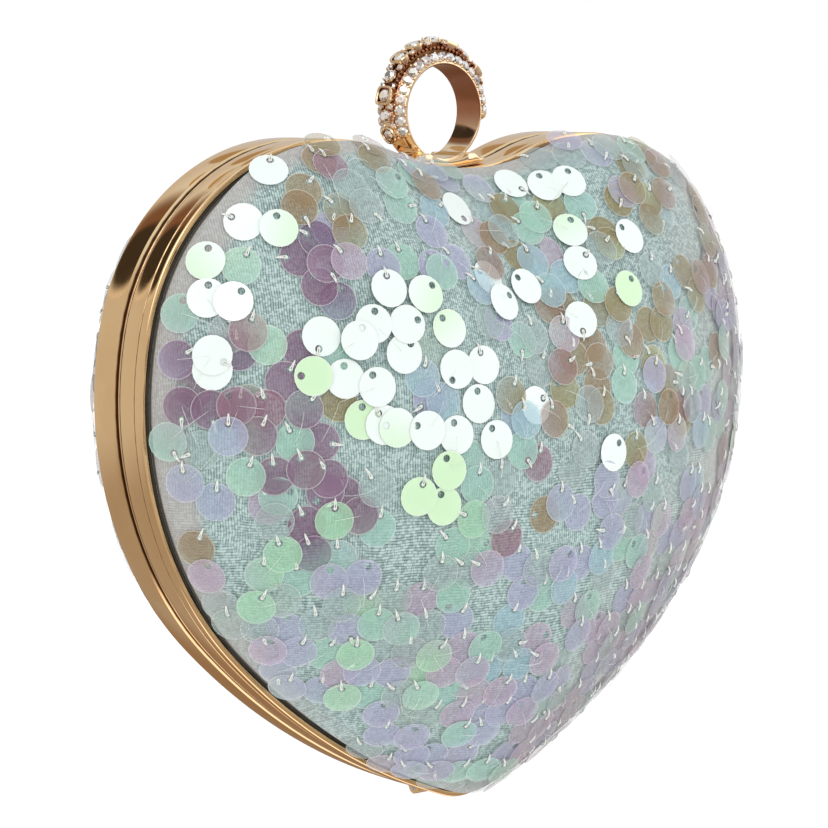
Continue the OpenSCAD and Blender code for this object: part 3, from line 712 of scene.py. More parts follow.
# rim is the lavender-grey veil's colour: partly clear film, partly painted sheen
knitLook = {
    "rib": 0.54, "row": 0.60, "light": srgb(187, 208, 203), "middle": srgb(147, 168, 166),
    "middleLight": srgb(156, 180, 178), "dark": srgb(74, 97, 96), "rim": srgb(180, 168, 164),
    # gap is a painted shadow right at the rim
    "gap": srgb(70, 62, 48), "wanderNoise": (11.0, 4.0), "wander": 3.0,
    "ribStretch": 0.75, "rowStretch": 0.6,
    "borderNoise": (5.0, 3.0), "borderSwing": 0.9, "border": (0.42, 0.46), "broadNoise": (3.0, 3.0),
    "broadRange": (0.35, 0.65), "darkShare": 0.9, "sideSheen": 0.75, "veilWaver": 0.06,
    "rimVeil": (0.965, 1.0), "veilHeights": (-0.7, -0.15), "veilShares": (0.05, 0.65),
    "rimShadowEdge": (0.9968, 0.9988), "bump": (0.4, 0.00015),
}
satinLook = {"colour": srgb(208, 214, 211), "light": srgb(219, 224, 221), "roughness": (0.34, 0.5),
             "weaveScale": 160.0, "distortion": 0.6, "folds": (7.0, 3.0), "foldRange": (0.3, 0.7),
             "weaveShare": 0.02, "bump": (0.35, 0.0006)}
threadLook = {"gap": (0.20, 0.42), "dark": (0.47, 0.55), "light": (0.56, 0.42), "apart": 7.31,
              "detail": 2.0, "roughness": 0.65}


def threadGroup():
    # Threads laid side by side: each has its own run of dark and light stretches along it
    look = threadLook
    group, given, result = newGroup("threadRuns", ("Along", "Across", "Stretch"),
                                    ("Dark", "Light", "Height"))
    phase = mathNode(group, "FRACT", given["Across"])
    number = mathNode(group, "FLOOR", given["Across"])
    edge = mathNode(group, "ABSOLUTE", mathNode(group, "SUBTRACT", phase, 0.5))
    gap = mapRange(group, edge, *look["gap"])
    thread = mathNode(group, "SUBTRACT", 1.0, gap)
    along = mathNode(group, "MULTIPLY", given["Along"], given["Stretch"])
    start = mathNode(group, "MULTIPLY", number, look["apart"])
    own = addNode(group, "ShaderNodeCombineXYZ", along, start, 0.0)
    run = addNode(group, "ShaderNodeTexNoise", Vector=own.outputs[0], Scale=1.0, Detail=look["detail"],
                  Roughness=look["roughness"])
    for name, ends, where in (("Dark", look["dark"], gap), ("Light", look["light"], thread)):
        stretches = mapRange(group, run.outputs[0], *ends)
        plug(group, result[name], mathNode(group, "MULTIPLY", stretches, where))
    plug(group, result["Height"], thread)
    return group


threadRuns = threadGroup()


def knitFabric():
    # Ribs of thread up the cloth, crossed by rows. The ribs show on the upper half and the rows on the
    # lower one, with a ragged border. A lavender-grey veil, partly clear film and partly painted sheen,
    # lies over the rim, and painted sheen over slopes seen from the side.
    look = knitLook
    material, tree = newMaterial("mintKnit")
    spread = ownMap(tree, "spread")
    across, up, _ = addNode(tree, "ShaderNodeSeparateXYZ", spread).outputs
    shift = mathNode(tree, "MULTIPLY", noiseNode(tree, spread, *look["wanderNoise"]), look["wander"])
    u = mathNode(tree, "MULTIPLY_ADD", across, mapUnit / look["rib"], shift)
    v = mathNode(tree, "MULTIPLY_ADD", up, mapUnit / look["row"], shift)
    ribs, rows = (
        addNode(tree, "ShaderNodeGroup", node_tree=threadRuns, Along=a, Across=b, Stretch=c).outputs
        for a, b, c in ((v, u, look["ribStretch"]), (u, v, look["rowStretch"])))
    ragged = noiseNode(tree, spread, *look["borderNoise"])
    border = mathNode(tree, "MULTIPLY_ADD", ragged, look["borderSwing"], up)
    ribbed = mapRange(tree, border, *look["border"])
    dark, light, height = (
        mathNode(tree, "MULTIPLY_ADD", mathNode(tree, "SUBTRACT", ribs[name], rows[name]), ribbed,
                 rows[name])
        for name in ("Dark", "Light", "Height"))
    broad = noiseNode(tree, spread, *look["broadNoise"])
    patches = mapRange(tree, broad, *look["broadRange"])
    colour = mixColour(tree, patches, look["middle"], look["middleLight"])
    colour = mixColour(tree, light, colour, look["light"])
    colour = mixColour(tree, mathNode(tree, "MULTIPLY", dark, look["darkShare"]), colour, look["dark"])
    nearRim = storedValue(tree, "rimShare")["Fac"]
    # painted sheen, partly clear film: a lavender-grey veil near the rim, stronger higher up, and where a
    # slope is seen from the side
    filmAndSheen = mathNode(tree, "MULTIPLY_ADD", broad, look["veilWaver"], nearRim)
    filmAndSheen = mapRange(tree, filmAndSheen, *look["rimVeil"])
    filmAndSheen = mathNode(tree, "MULTIPLY", filmAndSheen, mapRange(tree, up, *look["veilHeights"], *look["veilShares"]))
    filmAndSheen = mathNode(tree, "MAXIMUM", filmAndSheen, mathNode(tree, "MULTIPLY", seenEdgeOn(tree), look["sideSheen"]))
    colour = mixColour(tree, filmAndSheen, colour, look["rim"])
    # painted shadow: the cloth turns dark right at the rim, where it tucks under the frame
    colour = mixColour(tree, mapRange(tree, nearRim, *look["rimShadowEdge"]), colour, look["gap"])
    shade(tree, {"Base Color": colour, "Normal": bumpNode(tree, height, *look["bump"]), "Roughness": 0.7,
                 "Sheen Weight": 0.3, "Sheen Roughness": 0.4})
    return material


def satinLining():
    look = satinLook
    material, tree = newMaterial("satinLining")
    spread = ownMap(tree, "spread")
    weave = addNode(tree, "ShaderNodeTexWave", Vector=spread, Scale=look["weaveScale"],
                    Distortion=look["distortion"], Detail=1.0).outputs["Fac"]
    folds = noiseNode(tree, spread, *look["folds"])
    # painted sheen: the satin is lighter where the folds rise
    tone = mixColour(tree, mapRange(tree, folds, *look["foldRange"]), look["colour"], look["light"])
    height = mathNode(tree, "MULTIPLY_ADD", weave, look["weaveShare"], folds)
    shade(tree, {"Base Color": tone, "Normal": bumpNode(tree, height, *look["bump"]), "Sheen Weight": 0.3,
                 "Roughness": mapRange(tree, weave, 0, 1, *look["roughness"])})
    return material


mintKnit, liningSatin = knitFabric(), satinLining()
puffs = [fabricLook[key] for key in ("puffSides", "puffTop", "puffTip")]
coverShapes = {-1: domeShape(fabricLook["inset"], fabricLook["depth"], *puffs),
               1: domeShape(fabricLook["inset"], fabricLook["depth"], *[fabricLook["puffSides"]] * 3)}
coverShape = coverShapes[-1]


def levelRing(inset, depth):
    return atDepth((outline - inset * outlineNormals)[::2], depth)


for half, side in ((-1, "front"), (1, "back")):
    cover = closedDome(side + "Cover", half, fabricLook, coverShapes[half], mintKnit, fabricLook["pucker"])
    padding = closedDome(side + "Padding", half, foamLook, domeShape(foamLook["inset"], foamLook["depth"]),
                         plastic["foam"])
    look = liningLook
    turnedIn = look["shoulder"] - look["thickness"]
    skirt = [levelRing(look[inset], depth) for inset, depth in (
        ("inset", look["shoulder"]), ("skirt", look["shoulder"]), ("skirt", look["start"]),
        ("skirtInner", look["start"]), ("skirtInner", turnedIn), ("inner", turnedIn))]
    lining = closedDome(side + "Lining", half, look, domeShape(look["inset"], look["depth"]), liningSatin,
                        skirt=skirt)
    crispEdges(lining, domeLook["creaseAngle"])
    for piece, node, slotName in (
            (cover, "_cover", "sequin_knit"), (padding, "_padding", "foam"), (lining, "_lining", "satin")):
        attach(piece, side + "_half")
        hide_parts(side + node)
print("covers, padding and linings built")


# Sequins: thin clear discs with a hole near the edge, most stitched down through their hole
sequinLook = {
    "radius": 3.9, "holeRadius": 0.75, "holeShare": 0.64, "thickness": 0.05, "sides": 20,
    "rowPitch": 5.7, "columnPitch": 5.8, "halfColumns": 120, "halfRows": 110,
    "rimGap": 4.3, "specialGap": 4.6,
    "neatHeights": (10, -25), "neatJitter": 0.55, "looseJitter": 1.3, "fill": 0.80, "fillSwing": 0.11,
    "acrossWave": (0.19, 1.3, 0.13), "upWave": (0.23, 2.1, 0.09), "shares": (0.002, 0.9985),
    "lift": 0.34, "step": 0.15, "levels": 12, "tilt": 0.012, "light": 1.12,
    "lowFrom": -10, "lowHanging": 0.88, "hanging": 0.6, "swing": 0.45,
    # the painted sheen across each sequin, and how many sequins on the back get a painted highlight
    "sheenWash": 0.5, "specialSheen": 0.1, "strongSheen": 0.8, "strongShare": 0.15, "backHighlights": 22,
}
stitchLook = {
    "thread": 0.14, "taper": 0.4, "steps": 6, "from": 2.25, "length": 2.3, "apart": 0.34, "closing": 0.3,
    "height": 0.05, "arch": 0.34, "sink": 0.4, "sewn": 0.8, "specialSewn": 0.25, "knot": 0.42,
    "floatThreads": 130, "floatWidth": 0.035, "floatLeast": 4, "floatBow": 0.2, "floatLift": 0.5,
    "floatRise": 1.0, "neighbours": 5, "shares": (0.002, 0.998), "twist": 900.0, "distortion": 2.0,
    "dark": srgb(214, 220, 212), "light": srgb(252, 253, 248), "bump": (0.4, 0.0001), "roughness": 0.5,
}
# The film by the share of the way to the sequin's edge: the pressed rim with its painted highlight and the
# faint line inside it, and how much each tone covers there, and the lavender painted sheen seen from the
# side
filmLook = {
    "rimRange": (0.92, 0.97), "lineInner": (0.70, 0.73), "lineOuter": (0.79, 0.76), "rimAlpha": 0.12,
    "rim": (0.6, srgb(232, 234, 230)), "line": (0.10, srgb(250, 250, 245)),
    "edgeOnSheen": (0.6, srgb(194, 182, 188)), "roughness": 0.22, "specular": 0.55,
}
cloth = np.array(srgb(146, 170, 166))
# How each tint looks over the cloth, and how much of the cloth it covers
tintLooks = {
    "purple": (136, 116, 136, 0.60), "plum": (126, 110, 132, 0.58), "mauve": (150, 128, 138, 0.52),
    "rust": (148, 130, 122, 0.52), "olive": (148, 142, 106, 0.56), "bronze": (152, 138, 112, 0.54),
    "lavender": (168, 174, 194, 0.52), "pink": (176, 168, 182, 0.50), "mint": (160, 198, 184, 0.54),
    "green": (166, 208, 178, 0.58), "cyan": (158, 188, 196, 0.50), "clear": (156, 176, 173, 0.36),
    # the last two are painted highlights, brighter than white
    "highlightWhite": (255, 268, 262, 0.97), "highlightGreen": (226, 258, 216, 0.95),
}
# The tints that may lie anywhere, and how likely each is; rare is the chance of any other
plainTints = {"clear": 0.6, "lavender": 0.2, "mint": 0.35, "cyan": 0.16, "pink": 0.16}
# the tints into which each sequin's painted sheen runs
sheenTints = ("pink", "mint", "cyan", "lavender", "highlightGreen")
zoneLook = {"rare": 0.004, "weights": (2.6, 1.5, 0.8), "narrowing": 1.4}
# Where each tint gathers, by pixel of the photograph: middle, reach, tints
zones = [
    ((280, 265), 50, ("purple", "plum", "lavender")), ((245, 400), 95, ("purple", "plum", "mauve")),
    ((310, 440), 70, ("purple", "mauve", "plum")), ((340, 180), 48, ("olive", "bronze", "clear")),
    ((520, 160), 46, ("olive", "bronze", "clear")), ((640, 250), 78, ("olive", "bronze", "olive")),
    ((600, 370), 90, ("olive", "bronze", "rust")), ((530, 510), 52, ("mauve", "bronze", "rust")),
    ((240, 545), 62, ("green", "mint", "clear")), ((440, 515), 50, ("green", "mint", "highlightWhite")),
    ((375, 640), 66, ("green", "mint", "cyan")), ((660, 480), 90, ("pink", "lavender", "clear")),
    ((560, 610), 110, ("lavender", "pink", "cyan")), ((320, 700), 90, ("lavender", "clear", "pink")),
    ((480, 720), 90, ("lavender", "pink", "mint")), ((430, 200), 60, ("lavender", "mint", "clear")),
    ((700, 300), 60, ("pink", "lavender", "olive")), ((440, 380), 80, ("cyan", "mint", "highlightWhite")),
    ((210, 300), 50, ("mint", "cyan", "clear")),
]
# Sequins with a painted highlight, painted white where they throw the light straight back, by pixel of the
# photograph
brightPlaces = [
    (278, 229), (268, 172), (244, 222), (205, 262), (207, 300), (232, 303), (212, 355), (212, 372),
    (320, 338), (357, 342), (386, 290), (423, 294), (447, 328), (405, 325), (371, 325), (403, 355),
    (375, 387), (345, 380), (384, 425), (396, 428), (425, 430), (478, 404), (495, 440), (455, 435),
    (510, 185), (543, 187), (568, 183), (568, 233), (578, 265), (628, 237), (524, 288), (501, 303),
    (455, 370), (482, 365), (612, 452), (578, 321), (455, 210),
]
# Sequins with a pale green painted highlight, by pixel in the same way
palePlaces = [(313, 375), (362, 420), (448, 470), (443, 505), (625, 290), (418, 495)]


def filmColour(red, green, blue, cover):
    # The film's own colour, so that over the cloth it gives the wanted one under the studio's light, and
    # each skin's share of the cover. The cloth below is lit through the film and seen through it.
    wanted = np.array(srgb(red, green, blue)) / sequinLook["light"]
    return (*np.clip((wanted - (1 - cover) ** 2 * cloth) / cover, 0.03, 1.0), 1 - math.sqrt(1 - cover))


tints = {name: filmColour(*look) for name, look in tintLooks.items()}

# A fine table of the front dome: each node's angle, share, point and length from the middle
tableSize = {"angles": 720, "shares": 200, "crowding": 1.6, "widest": 0.9999}
tableAngles = np.linspace(-np.pi, np.pi, tableSize["angles"], endpoint=False)
tableShares = np.linspace(0, 1, tableSize["shares"])[::-1] ** tableSize["crowding"]
tableShares = 1 - tableShares * tableSize["widest"]
tablePoints = domeAt(coverShape, tableAngles[None], tableShares[:, None])
tableSteps = np.diff(tablePoints, axis=0, prepend=np.broadcast_to(
    domeAt(coverShape, np.zeros(1), np.zeros(1)), tablePoints[:1].shape))
tableLength = np.cumsum(np.linalg.norm(tableSteps, axis=-1), axis=0)


def fromFlat(flat):
    # The angle and share at which a place on the spread-out cloth lies on the dome, and the cloth's reach
    angle = np.arctan2(flat[:, 1], flat[:, 0])
    column = np.round((angle + np.pi) / (2 * np.pi) * tableSize["angles"]).astype(int) % tableSize["angles"]
    lengths = tableLength[:, column]
    wanted = np.linalg.norm(flat, axis=1)
    k = np.clip((lengths < wanted).sum(0), 1, len(tableShares) - 1)
    pick = np.arange(len(flat))
    low, high = lengths[k - 1, pick], lengths[k, pick]
    t = np.clip((wanted - low) / (high - low), 0, 1)
    return angle, tableShares[k - 1] * (1 - t) + tableShares[k] * t, lengths[-1]


def flatFromPixel(pixels):
    # The spread-out place whose point on the front dome shows nearest to each pixel
    toFront, leastFacing, unseen = [1, -1, 1], 0.02, 1e4
    seen = toPixels(toRow(tablePoints * toFront))
    normal = domeNormal(coverShape, tableAngles[None], np.minimum(tableShares, 0.9995)[:, None]) * toFront
    hidden = np.where(normal @ cameraAxes()[2] > leastFacing, 0, unseen)
    distance = np.linalg.norm(seen[None] - np.array(pixels)[:, None, None], axis=-1) + hidden
    nearest = distance.reshape(len(pixels), -1).argmin(1)
    length, angle = tableLength.ravel()[nearest], np.tile(tableAngles, len(tableShares))[nearest]
    return np.stack([length * np.cos(angle), length * np.sin(angle)], -1)


def sequinPlaces():
    # Loose rows, shifted by half a step, with gaps where a slow wave over the cloth runs low. The wave is
    # one sine across the cloth and one up it, each bent by a slower sine of the other direction.
    look = sequinLook
    u, v = np.meshgrid(np.arange(-look["halfColumns"], look["halfColumns"] + 1, look["columnPitch"]),
                       np.arange(-look["halfRows"], look["halfRows"] + 1, look["rowPitch"]))
    u = u + (np.arange(len(u)) % 2)[:, None] * look["columnPitch"] / 2
    flat = np.stack([u.ravel(), v.ravel()], -1)
    neat = smoothStep(flat[:, 1], *look["neatHeights"])[:, None]
    jitter = neat * look["neatJitter"] + (1 - neat) * look["looseJitter"]
    flat = flat + random.normal(0, 1, flat.shape) * jitter
    x, y = flat.T
    wave = bentWave(x, y, *look["acrossWave"]) + bentWave(y, x, *look["upWave"])
    keep = random.random(len(flat)) < look["fill"] + look["fillSwing"] * wave
    return flat[keep & (np.linalg.norm(flat, axis=1) < fromFlat(flat)[2] - look["rimGap"])]


def discShape():
    # A thin ring between the sequin's edge and its hole. The hole's points face the edge's, so the
    # strips between them widen away from the hole.
    look = sequinLook
    turn = fullTurn(look["sides"])
    ray = np.stack([np.cos(turn), np.sin(turn)], -1)
    hole = ray * look["holeRadius"] + [0, look["radius"] * look["holeShare"]]
    level = look["thickness"] / 2
    rings = [np.column_stack([flat, np.full(len(ray), height)])
             for flat, height in ((ray * look["radius"], 0), (hole, -level), (hole, level))]
    return np.concatenate(rings), [gridFaces(3, look["sides"], True, True)]


def stitchShape():
    # Two strands from either side of the hole that arch over the sequin's edge and meet in the cloth,
    # as four-sided tubes along a half wave, and a small knot in the hole
    look = stitchLook
    t, turn = np.linspace(0, 1, look["steps"]), fullTurn(4)
    square = np.stack([np.cos(turn), np.zeros(4), np.sin(turn)], -1)
    width = (look["thread"] * (1 - look["taper"] * np.abs(2 * t - 1) ** 3))[:, None, None]
    height = look["height"] + look["arch"] * np.sin(np.pi * t) - look["sink"] * t
    parts = []
    for side in (-1, 1):
        apart = side * (look["apart"] - look["closing"] * t ** 0.6)
        middle = np.column_stack([apart, look["from"] + look["length"] * t, height])
        parts.append(((middle[:, None] + square[None] * width).reshape(-1, 3), tubeFaces(len(t), 4)))
    knot = np.array([[1, 0, 0], [0, 1, 0], [-1, 0, 0], [0, -1, 0], [0, 0, 0.8], [0, 0, -0.8]])
    place = [0, sequinLook["radius"] * sequinLook["holeShare"] - 0.1, 0.1]
    i, j = np.arange(4), np.arange(1, 5) % 4
    parts.append((knot * look["knot"] + place,
                  [np.stack([i, j, np.full(4, 4)], 1), np.stack([j, i, np.full(4, 5)], 1)]))
    return joined(parts)


def chooseTints(pixels):
    # Near a zone's middle its own tints are likely, elsewhere the plain ones
    names = list(tints)
    chance = np.full((len(pixels), len(names)), zoneLook["rare"])
    for name, weight in plainTints.items():
        chance[:, names.index(name)] += weight
    for middle, reach, group in zones:
        away = np.linalg.norm(pixels - middle, axis=1) / reach
        near = np.exp(-(away ** 2) * zoneLook["narrowing"])
        for name, weight in zip(group, zoneLook["weights"]):
            chance[:, names.index(name)] += weight * near
    total = np.cumsum(chance, axis=1)
    pick = (random.random(len(pixels))[:, None] * total[:, -1:] > total).sum(1)
    return np.array([tints[n] for n in names])[pick]


def sequinMaterial():
    # Clear film with its tint, which runs across it as a painted sheen. The pressed rim is lighter, a
    # painted highlight, and less clear, a faint line runs inside it, and seen from the side the film turns
    # lavender, a painted sheen.
    look = filmLook
    material, tree = newMaterial("clearSequin")
    tint = storedValue(tree, "tint")
    reach = addNode(tree, "ShaderNodeVectorMath", ownMap(tree, "disc"), operation="LENGTH").outputs["Value"]
    rim = mapRange(tree, reach, *look["rimRange"])
    line = mathNode(tree, "MULTIPLY", mapRange(tree, reach, *look["lineInner"]),
                    mapRange(tree, reach, *look["lineOuter"]))
    base = tint["Color"]
    for where, name in ((rim, "rim"), (line, "line"), (seenEdgeOn(tree), "edgeOnSheen")):
        share, colour = look[name]
        base = mixColour(tree, mathNode(tree, "MULTIPLY", where, share), base, colour)
    alpha = mathNode(tree, "MULTIPLY_ADD", rim, look["rimAlpha"], tint["Alpha"])
    shade(tree, {"Base Color": base, "Alpha": mathNode(tree, "MINIMUM", alpha, 1.0),
                 "Roughness": look["roughness"], "Specular IOR Level": look["specular"]})
    return material


def threadMaterial():
    look = stitchLook
    material, tree = newMaterial("stitchThread")
    twist = addNode(tree, "ShaderNodeTexWave", Vector=objectPlace(tree), Scale=look["twist"],
                    Distortion=look["distortion"]).outputs["Fac"]
    shade(tree, {"Base Color": mixColour(tree, twist, look["dark"], look["light"]),
                 "Normal": bumpNode(tree, twist, *look["bump"]), "Roughness": look["roughness"]})
    return material


clearSequin, stitchThread = sequinMaterial(), threadMaterial()


def stackLevels(flat):
    # Each sequin in turn takes the lowest level that none of the sequins it overlaps has taken, and
    # each bright one, which come last in the list, the level above all that it overlaps
    near = np.linalg.norm(flat[:, None] - flat[None], axis=-1) < sequinLook["radius"] * 2
    level = np.full(len(flat), -1)
    order = random.permutation(len(flat))
    plain = len(flat) - len(brightPlaces) - len(palePlaces)
    for k in order[order < plain]:
        level[k] = np.setdiff1d(np.arange(sequinLook["levels"]), level[near[k]])[0]
    for k in order[order >= plain]:
        level[k] = level[near[k]].max() + 1
    return level


def layFlat(flat, half):
    # Axes of each sequin: its hole's direction on the cloth, turned at random, and the cloth's normal,
    # tipped a little
    look, shape, count = sequinLook, coverShapes[half], len(flat)
    angle, share, _ = fromFlat(flat)
    share = np.clip(share, *look["shares"])
    normal = domeNormal(shape, angle, share)
    upward = normalised(np.array([0, 0, 1.0]) - normal * normal[:, 2:3])
    sideways = np.cross(upward, normal)
    likely = np.where(flat[:, 1] < look["lowFrom"], look["lowHanging"], look["hanging"])
    hanging = random.random(count) < likely
    spin = np.where(hanging, random.normal(0, look["swing"], count), random.uniform(-np.pi, np.pi, count))
    spin = spin[:, None]
    tip = random.normal(0, look["tilt"], (count, 2))
    lifted = normalised(normal + sideways * tip[:, :1] + upward * tip[:, 1:])
    holeWay = upward * np.cos(spin) + sideways * np.sin(spin)
    holeWay = normalised(holeWay - lifted * (holeWay * lifted).sum(1, keepdims=True))
    lift = look["lift"] + look["step"] * stackLevels(flat)
    axes = np.stack([np.cross(holeWay, lifted), holeWay, lifted], 1)
    mirror = np.array([1, half, 1])
    return (domeAt(shape, angle, share) + normal * lift[:, None]) * mirror, axes * mirror


def floatThreads(flat, half):
    # Clear threads that run on from one stitch to a neighbour, each a thin four-sided strand with a
    # slight bow, which is half a sine wave
    look, shape, count = stitchLook, coverShapes[half], stitchLook["floatThreads"]
    first = random.choice(len(flat), count, replace=False)
    distance = np.linalg.norm(flat[first, None] - flat[None], axis=-1)
    distance[distance < look["floatLeast"]] = np.inf
    second = np.argsort(distance, axis=1)[np.arange(count), random.integers(0, look["neighbours"], count)]
    ends = []
    for pick in (first, second):
        angle, share, _ = fromFlat(flat[pick])
        share = np.clip(share, *look["shares"])
        ends.append(domeAt(shape, angle, share)[:, None])
    normal = domeNormal(shape, angle, share)
    across = normalised(np.cross((ends[1] - ends[0])[:, 0], normal))
    t = np.linspace(0, 1, look["steps"])[None, :, None]
    arch = np.sin(np.pi * t)
    bow = random.normal(0, look["floatBow"], (count, 1, 1)) * arch
    lift = look["floatLift"] + look["floatRise"] * arch ** 0.5
    middle = ends[0] * (1 - t) + ends[1] * t + across[:, None] * bow + normal[:, None] * lift
    sides = np.stack([across, normal, -across, -normal], 1) * look["floatWidth"]
    points = middle[:, :, None] + sides[:, None]
    start = (np.arange(count) * look["steps"] * 4)[:, None, None]
    faces = [(f[None] + start).reshape(-1, 4) for f in tubeFaces(look["steps"], 4)]
    return points.reshape(-1, 3) * [1, half, 1], faces


front = sequinPlaces()
bright = flatFromPixel(brightPlaces)
special = np.concatenate([bright, flatFromPixel(palePlaces)])
clearOf = np.linalg.norm(front[:, None] - special[None], axis=-1).min(1) > sequinLook["specialGap"]
front = np.concatenate([front[clearOf], special])
count, specialCount = len(front), len(special)
# the special sequins carry painted highlights, white and pale green
specialTints = np.array([tints["highlightWhite"]] * len(bright) + [tints["highlightGreen"]] * len(palePlaces))
angle, share, _ = fromFlat(front)
seen = toPixels(toRow(domeAt(coverShape, angle, share) * [1, -1, 1]))
disc, discFaces = discShape()

for half, side in ((-1, "front"), (1, "back")):
    look = sequinLook
    # the back's zones and painted highlights fall elsewhere
    colours = chooseTints(seen if half < 0 else seen * [-1, 1] + [shot["frame"], 0])
    colours[-specialCount:] = specialTints if half < 0 else chooseTints(seen[-specialCount:])
    # painted highlights: some sequins on the back are painted white
    if half > 0:
        colours[random.choice(count, look["backHighlights"], replace=False)] = tints["highlightWhite"]
    places, axes = layFlat(front, half)
    points, faces = copies(disc, discFaces, places, axes)
    sequins = newPiece(side + "Sequins", toRow(points), faces, clearSequin, smooth=False)
    # painted sheen: the tint goes over to a second one along a random direction of each sequin
    sheenWash = random.uniform(0, 2 * np.pi, count)[:, None]
    along = (disc[None, :, 0] * np.cos(sheenWash) + disc[None, :, 1] * np.sin(sheenWash)) / look["radius"]
    strength = random.uniform(0.0, look["sheenWash"], count)[:, None]
    strong = random.random((specialCount, 1)) < look["strongShare"]
    strength[-specialCount:] = np.where(strong, look["strongSheen"], look["specialSheen"])
    mix = (np.clip(along * 0.5 + 0.5, 0, 1) * strength)[..., None]
    second = np.array([tints[n][:3] for n in sheenTints])[random.integers(0, len(sheenTints), count)]
    second[-specialCount:] = tints["highlightGreen"][:3]
    tint = np.empty((count, len(disc), 4))
    tint[..., :3] = colours[:, None, :3] * (1 - mix) + second[:, None] * mix
    tint[..., 3] = colours[:, None, 3]
    setColours(sequins, "tint", "POINT", tint)
    setMap(sequins, "disc", disc[:, :2] / look["radius"])
    sewn = random.random(count) < stitchLook["sewn"]
    sewn[-specialCount:] = random.random(specialCount) < stitchLook["specialSewn"]
    points, faces = joined([copies(*stitchShape(), places[sewn], axes[sewn]), floatThreads(front, half)])
    stitches = newPiece(side + "Stitches", toRow(points), faces, stitchThread)
    for piece in (sequins, stitches):
        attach(piece, side + "_half")
print("sequins laid:", count, "on each dome")


# Finger ring: angles are degrees counter-clockwise from the right, lengths from the bore's centre
ringLook = {
    "bore": 9.8, "edge": 10.3, "shank": 11.1, "shankHalf": 2.6, "rail": 12.3, "half": 3.8, "slope": 1.7,
    "from": -4, "to": 206, "blend": 3, "sections": 300, "stones": 19, "stoneD": 2.28, "stoneH": 0.8,
    "beadRows": ((12.15, 2.12), (10.5, 3.68)), "beadRadius": 0.36, "creaseAngle": 40,
}
crownLook = {
    "radius": 12.75, "lift": 1.65, "margin": 4, "sink": 0.6, "floor": 12.0, "half": 1.75, "topHalf": 1.45,
    "sections": 220, "settingSink": 0.55, "smallSink": 0.45, "smallSide": 1.55, "beadPitch": 4.6,
    # the last two set the painted shade in the cups' seats and at their feet
    "beadRadius": 0.4, "beadSide": 1.86, "cupShade": 0.9, "cupShadeReach": 0.35,
}
footLook = {"half": 9.4, "steps": 61, "clear": 0.2, "top": -8.3, "flare": 1.5, "flareFrom": 6.6,
            "hollow": 0.25, "hollowHalf": 6, "least": 0.9,
            "layers": ((-5.8, 0.35), (-5.68, 0.12), (-5.4, 0), (3.4, 0), (3.68, 0.12), (3.8, 0.35))}
pivotLook = {"back": 5.55, "level": -9.736, "bore": 0.54, "barrel": 1.1, "sides": 32,
             "spans": ((4.8, 7.5), (-6.0, -4.8)), "armInset": 0.1, "armBack": (3.3, 4.7),
             "armLevel": (-10.6, -8.88)}


def aroundRing(angle, radius, y):
    y = np.broadcast_to(y, np.shape(radius * angle))
    return np.stack([radius * np.cos(angle), y, radius * np.sin(angle)], -1)


def ringAxes(angles, lean=0.0):
    # Rows: along the ring, towards the front edge, outwards; lean tips outwards towards -Y
    zero = np.zeros_like(angles)
    along = np.stack([-np.sin(angles), zero, np.cos(angles)], -1)
    outward = np.stack([np.cos(angles), zero, np.sin(angles)], -1)
    across = np.broadcast_to([0, -1.0, 0], along.shape)
    tipped = outward * math.cos(lean) + across * math.sin(lean)
    return np.stack([along, across * math.cos(lean) - outward * math.sin(lean), tipped], 1)


def bandShape():
    # Two cross sections, railed above and rounded below, blended along the ring by a smooth step
    look = ringLook
    half, first, last, blend = (look[k] for k in ("half", "from", "to", "blend"))
    railed = mirroredProfile([(look["bore"], -half, 0.25), (look["edge"], -half, 0.2),
                              (look["rail"], look["slope"] - half, 0.2)])
    plain = mirroredProfile([(look["bore"], -half, 0.25), (look["edge"], -half, 0.3),
                             (look["shank"], -look["shankHalf"], 1.5)])
    degrees = np.linspace(-90, 270, look["sections"], endpoint=False)
    rail = (smoothStep(degrees, first - blend, first + blend)
            * smoothStep(degrees, last + blend, last - blend))[:, None, None]
    section = plain[None] * (1 - rail) + railed[None] * rail
    points = aroundRing(np.radians(degrees)[:, None], section[..., 0], section[..., 1])
    return points.reshape(-1, 3), [gridFaces(len(degrees), len(railed), True, True)]


def footShape():
    # Across the foot, the underside keeps clear of the notch's curve and the top flares from the band.
    # Each layer is (y, shrink), and shrink draws its edge in towards the profile's middle.
    look = footLook
    x = np.linspace(-look["half"], look["half"], look["steps"])
    notch = case["height"] - case["lobeRadius"] + notchRise()
    under = notch - np.sqrt((case["notchRadius"] - look["clear"]) ** 2 - x ** 2) - case["ringLevel"]
    hollow = look["hollow"] * np.cos(np.clip(x / look["hollowHalf"], -1, 1) * np.pi)
    top = look["top"] - look["flare"] * smoothStep(np.abs(x), look["flareFrom"], look["half"]) + hollow
    top = np.maximum(top, under + look["least"])
    profile = np.concatenate([np.column_stack([x, under]), np.column_stack([x, top])[::-1]])
    middle = (profile + profile[::-1]) / 2
    away = middle - profile
    away = away / np.maximum(np.linalg.norm(away, axis=1, keepdims=True), 1e-6)
    rows = []
    for y, shrink in look["layers"]:
        edge = profile + away * shrink
        edge[:, 0] *= 1 - shrink / look["half"]
        rows.append(atDepth(edge, y))
    count, caps = len(profile), np.arange(look["steps"] - 1)
    left = np.stack([caps, caps + 1, count - 2 - caps, count - 1 - caps], -1)
    return (np.concatenate(rows), [gridFaces(len(rows), count, False, True), left,
                                   left + (len(rows) - 1) * count])


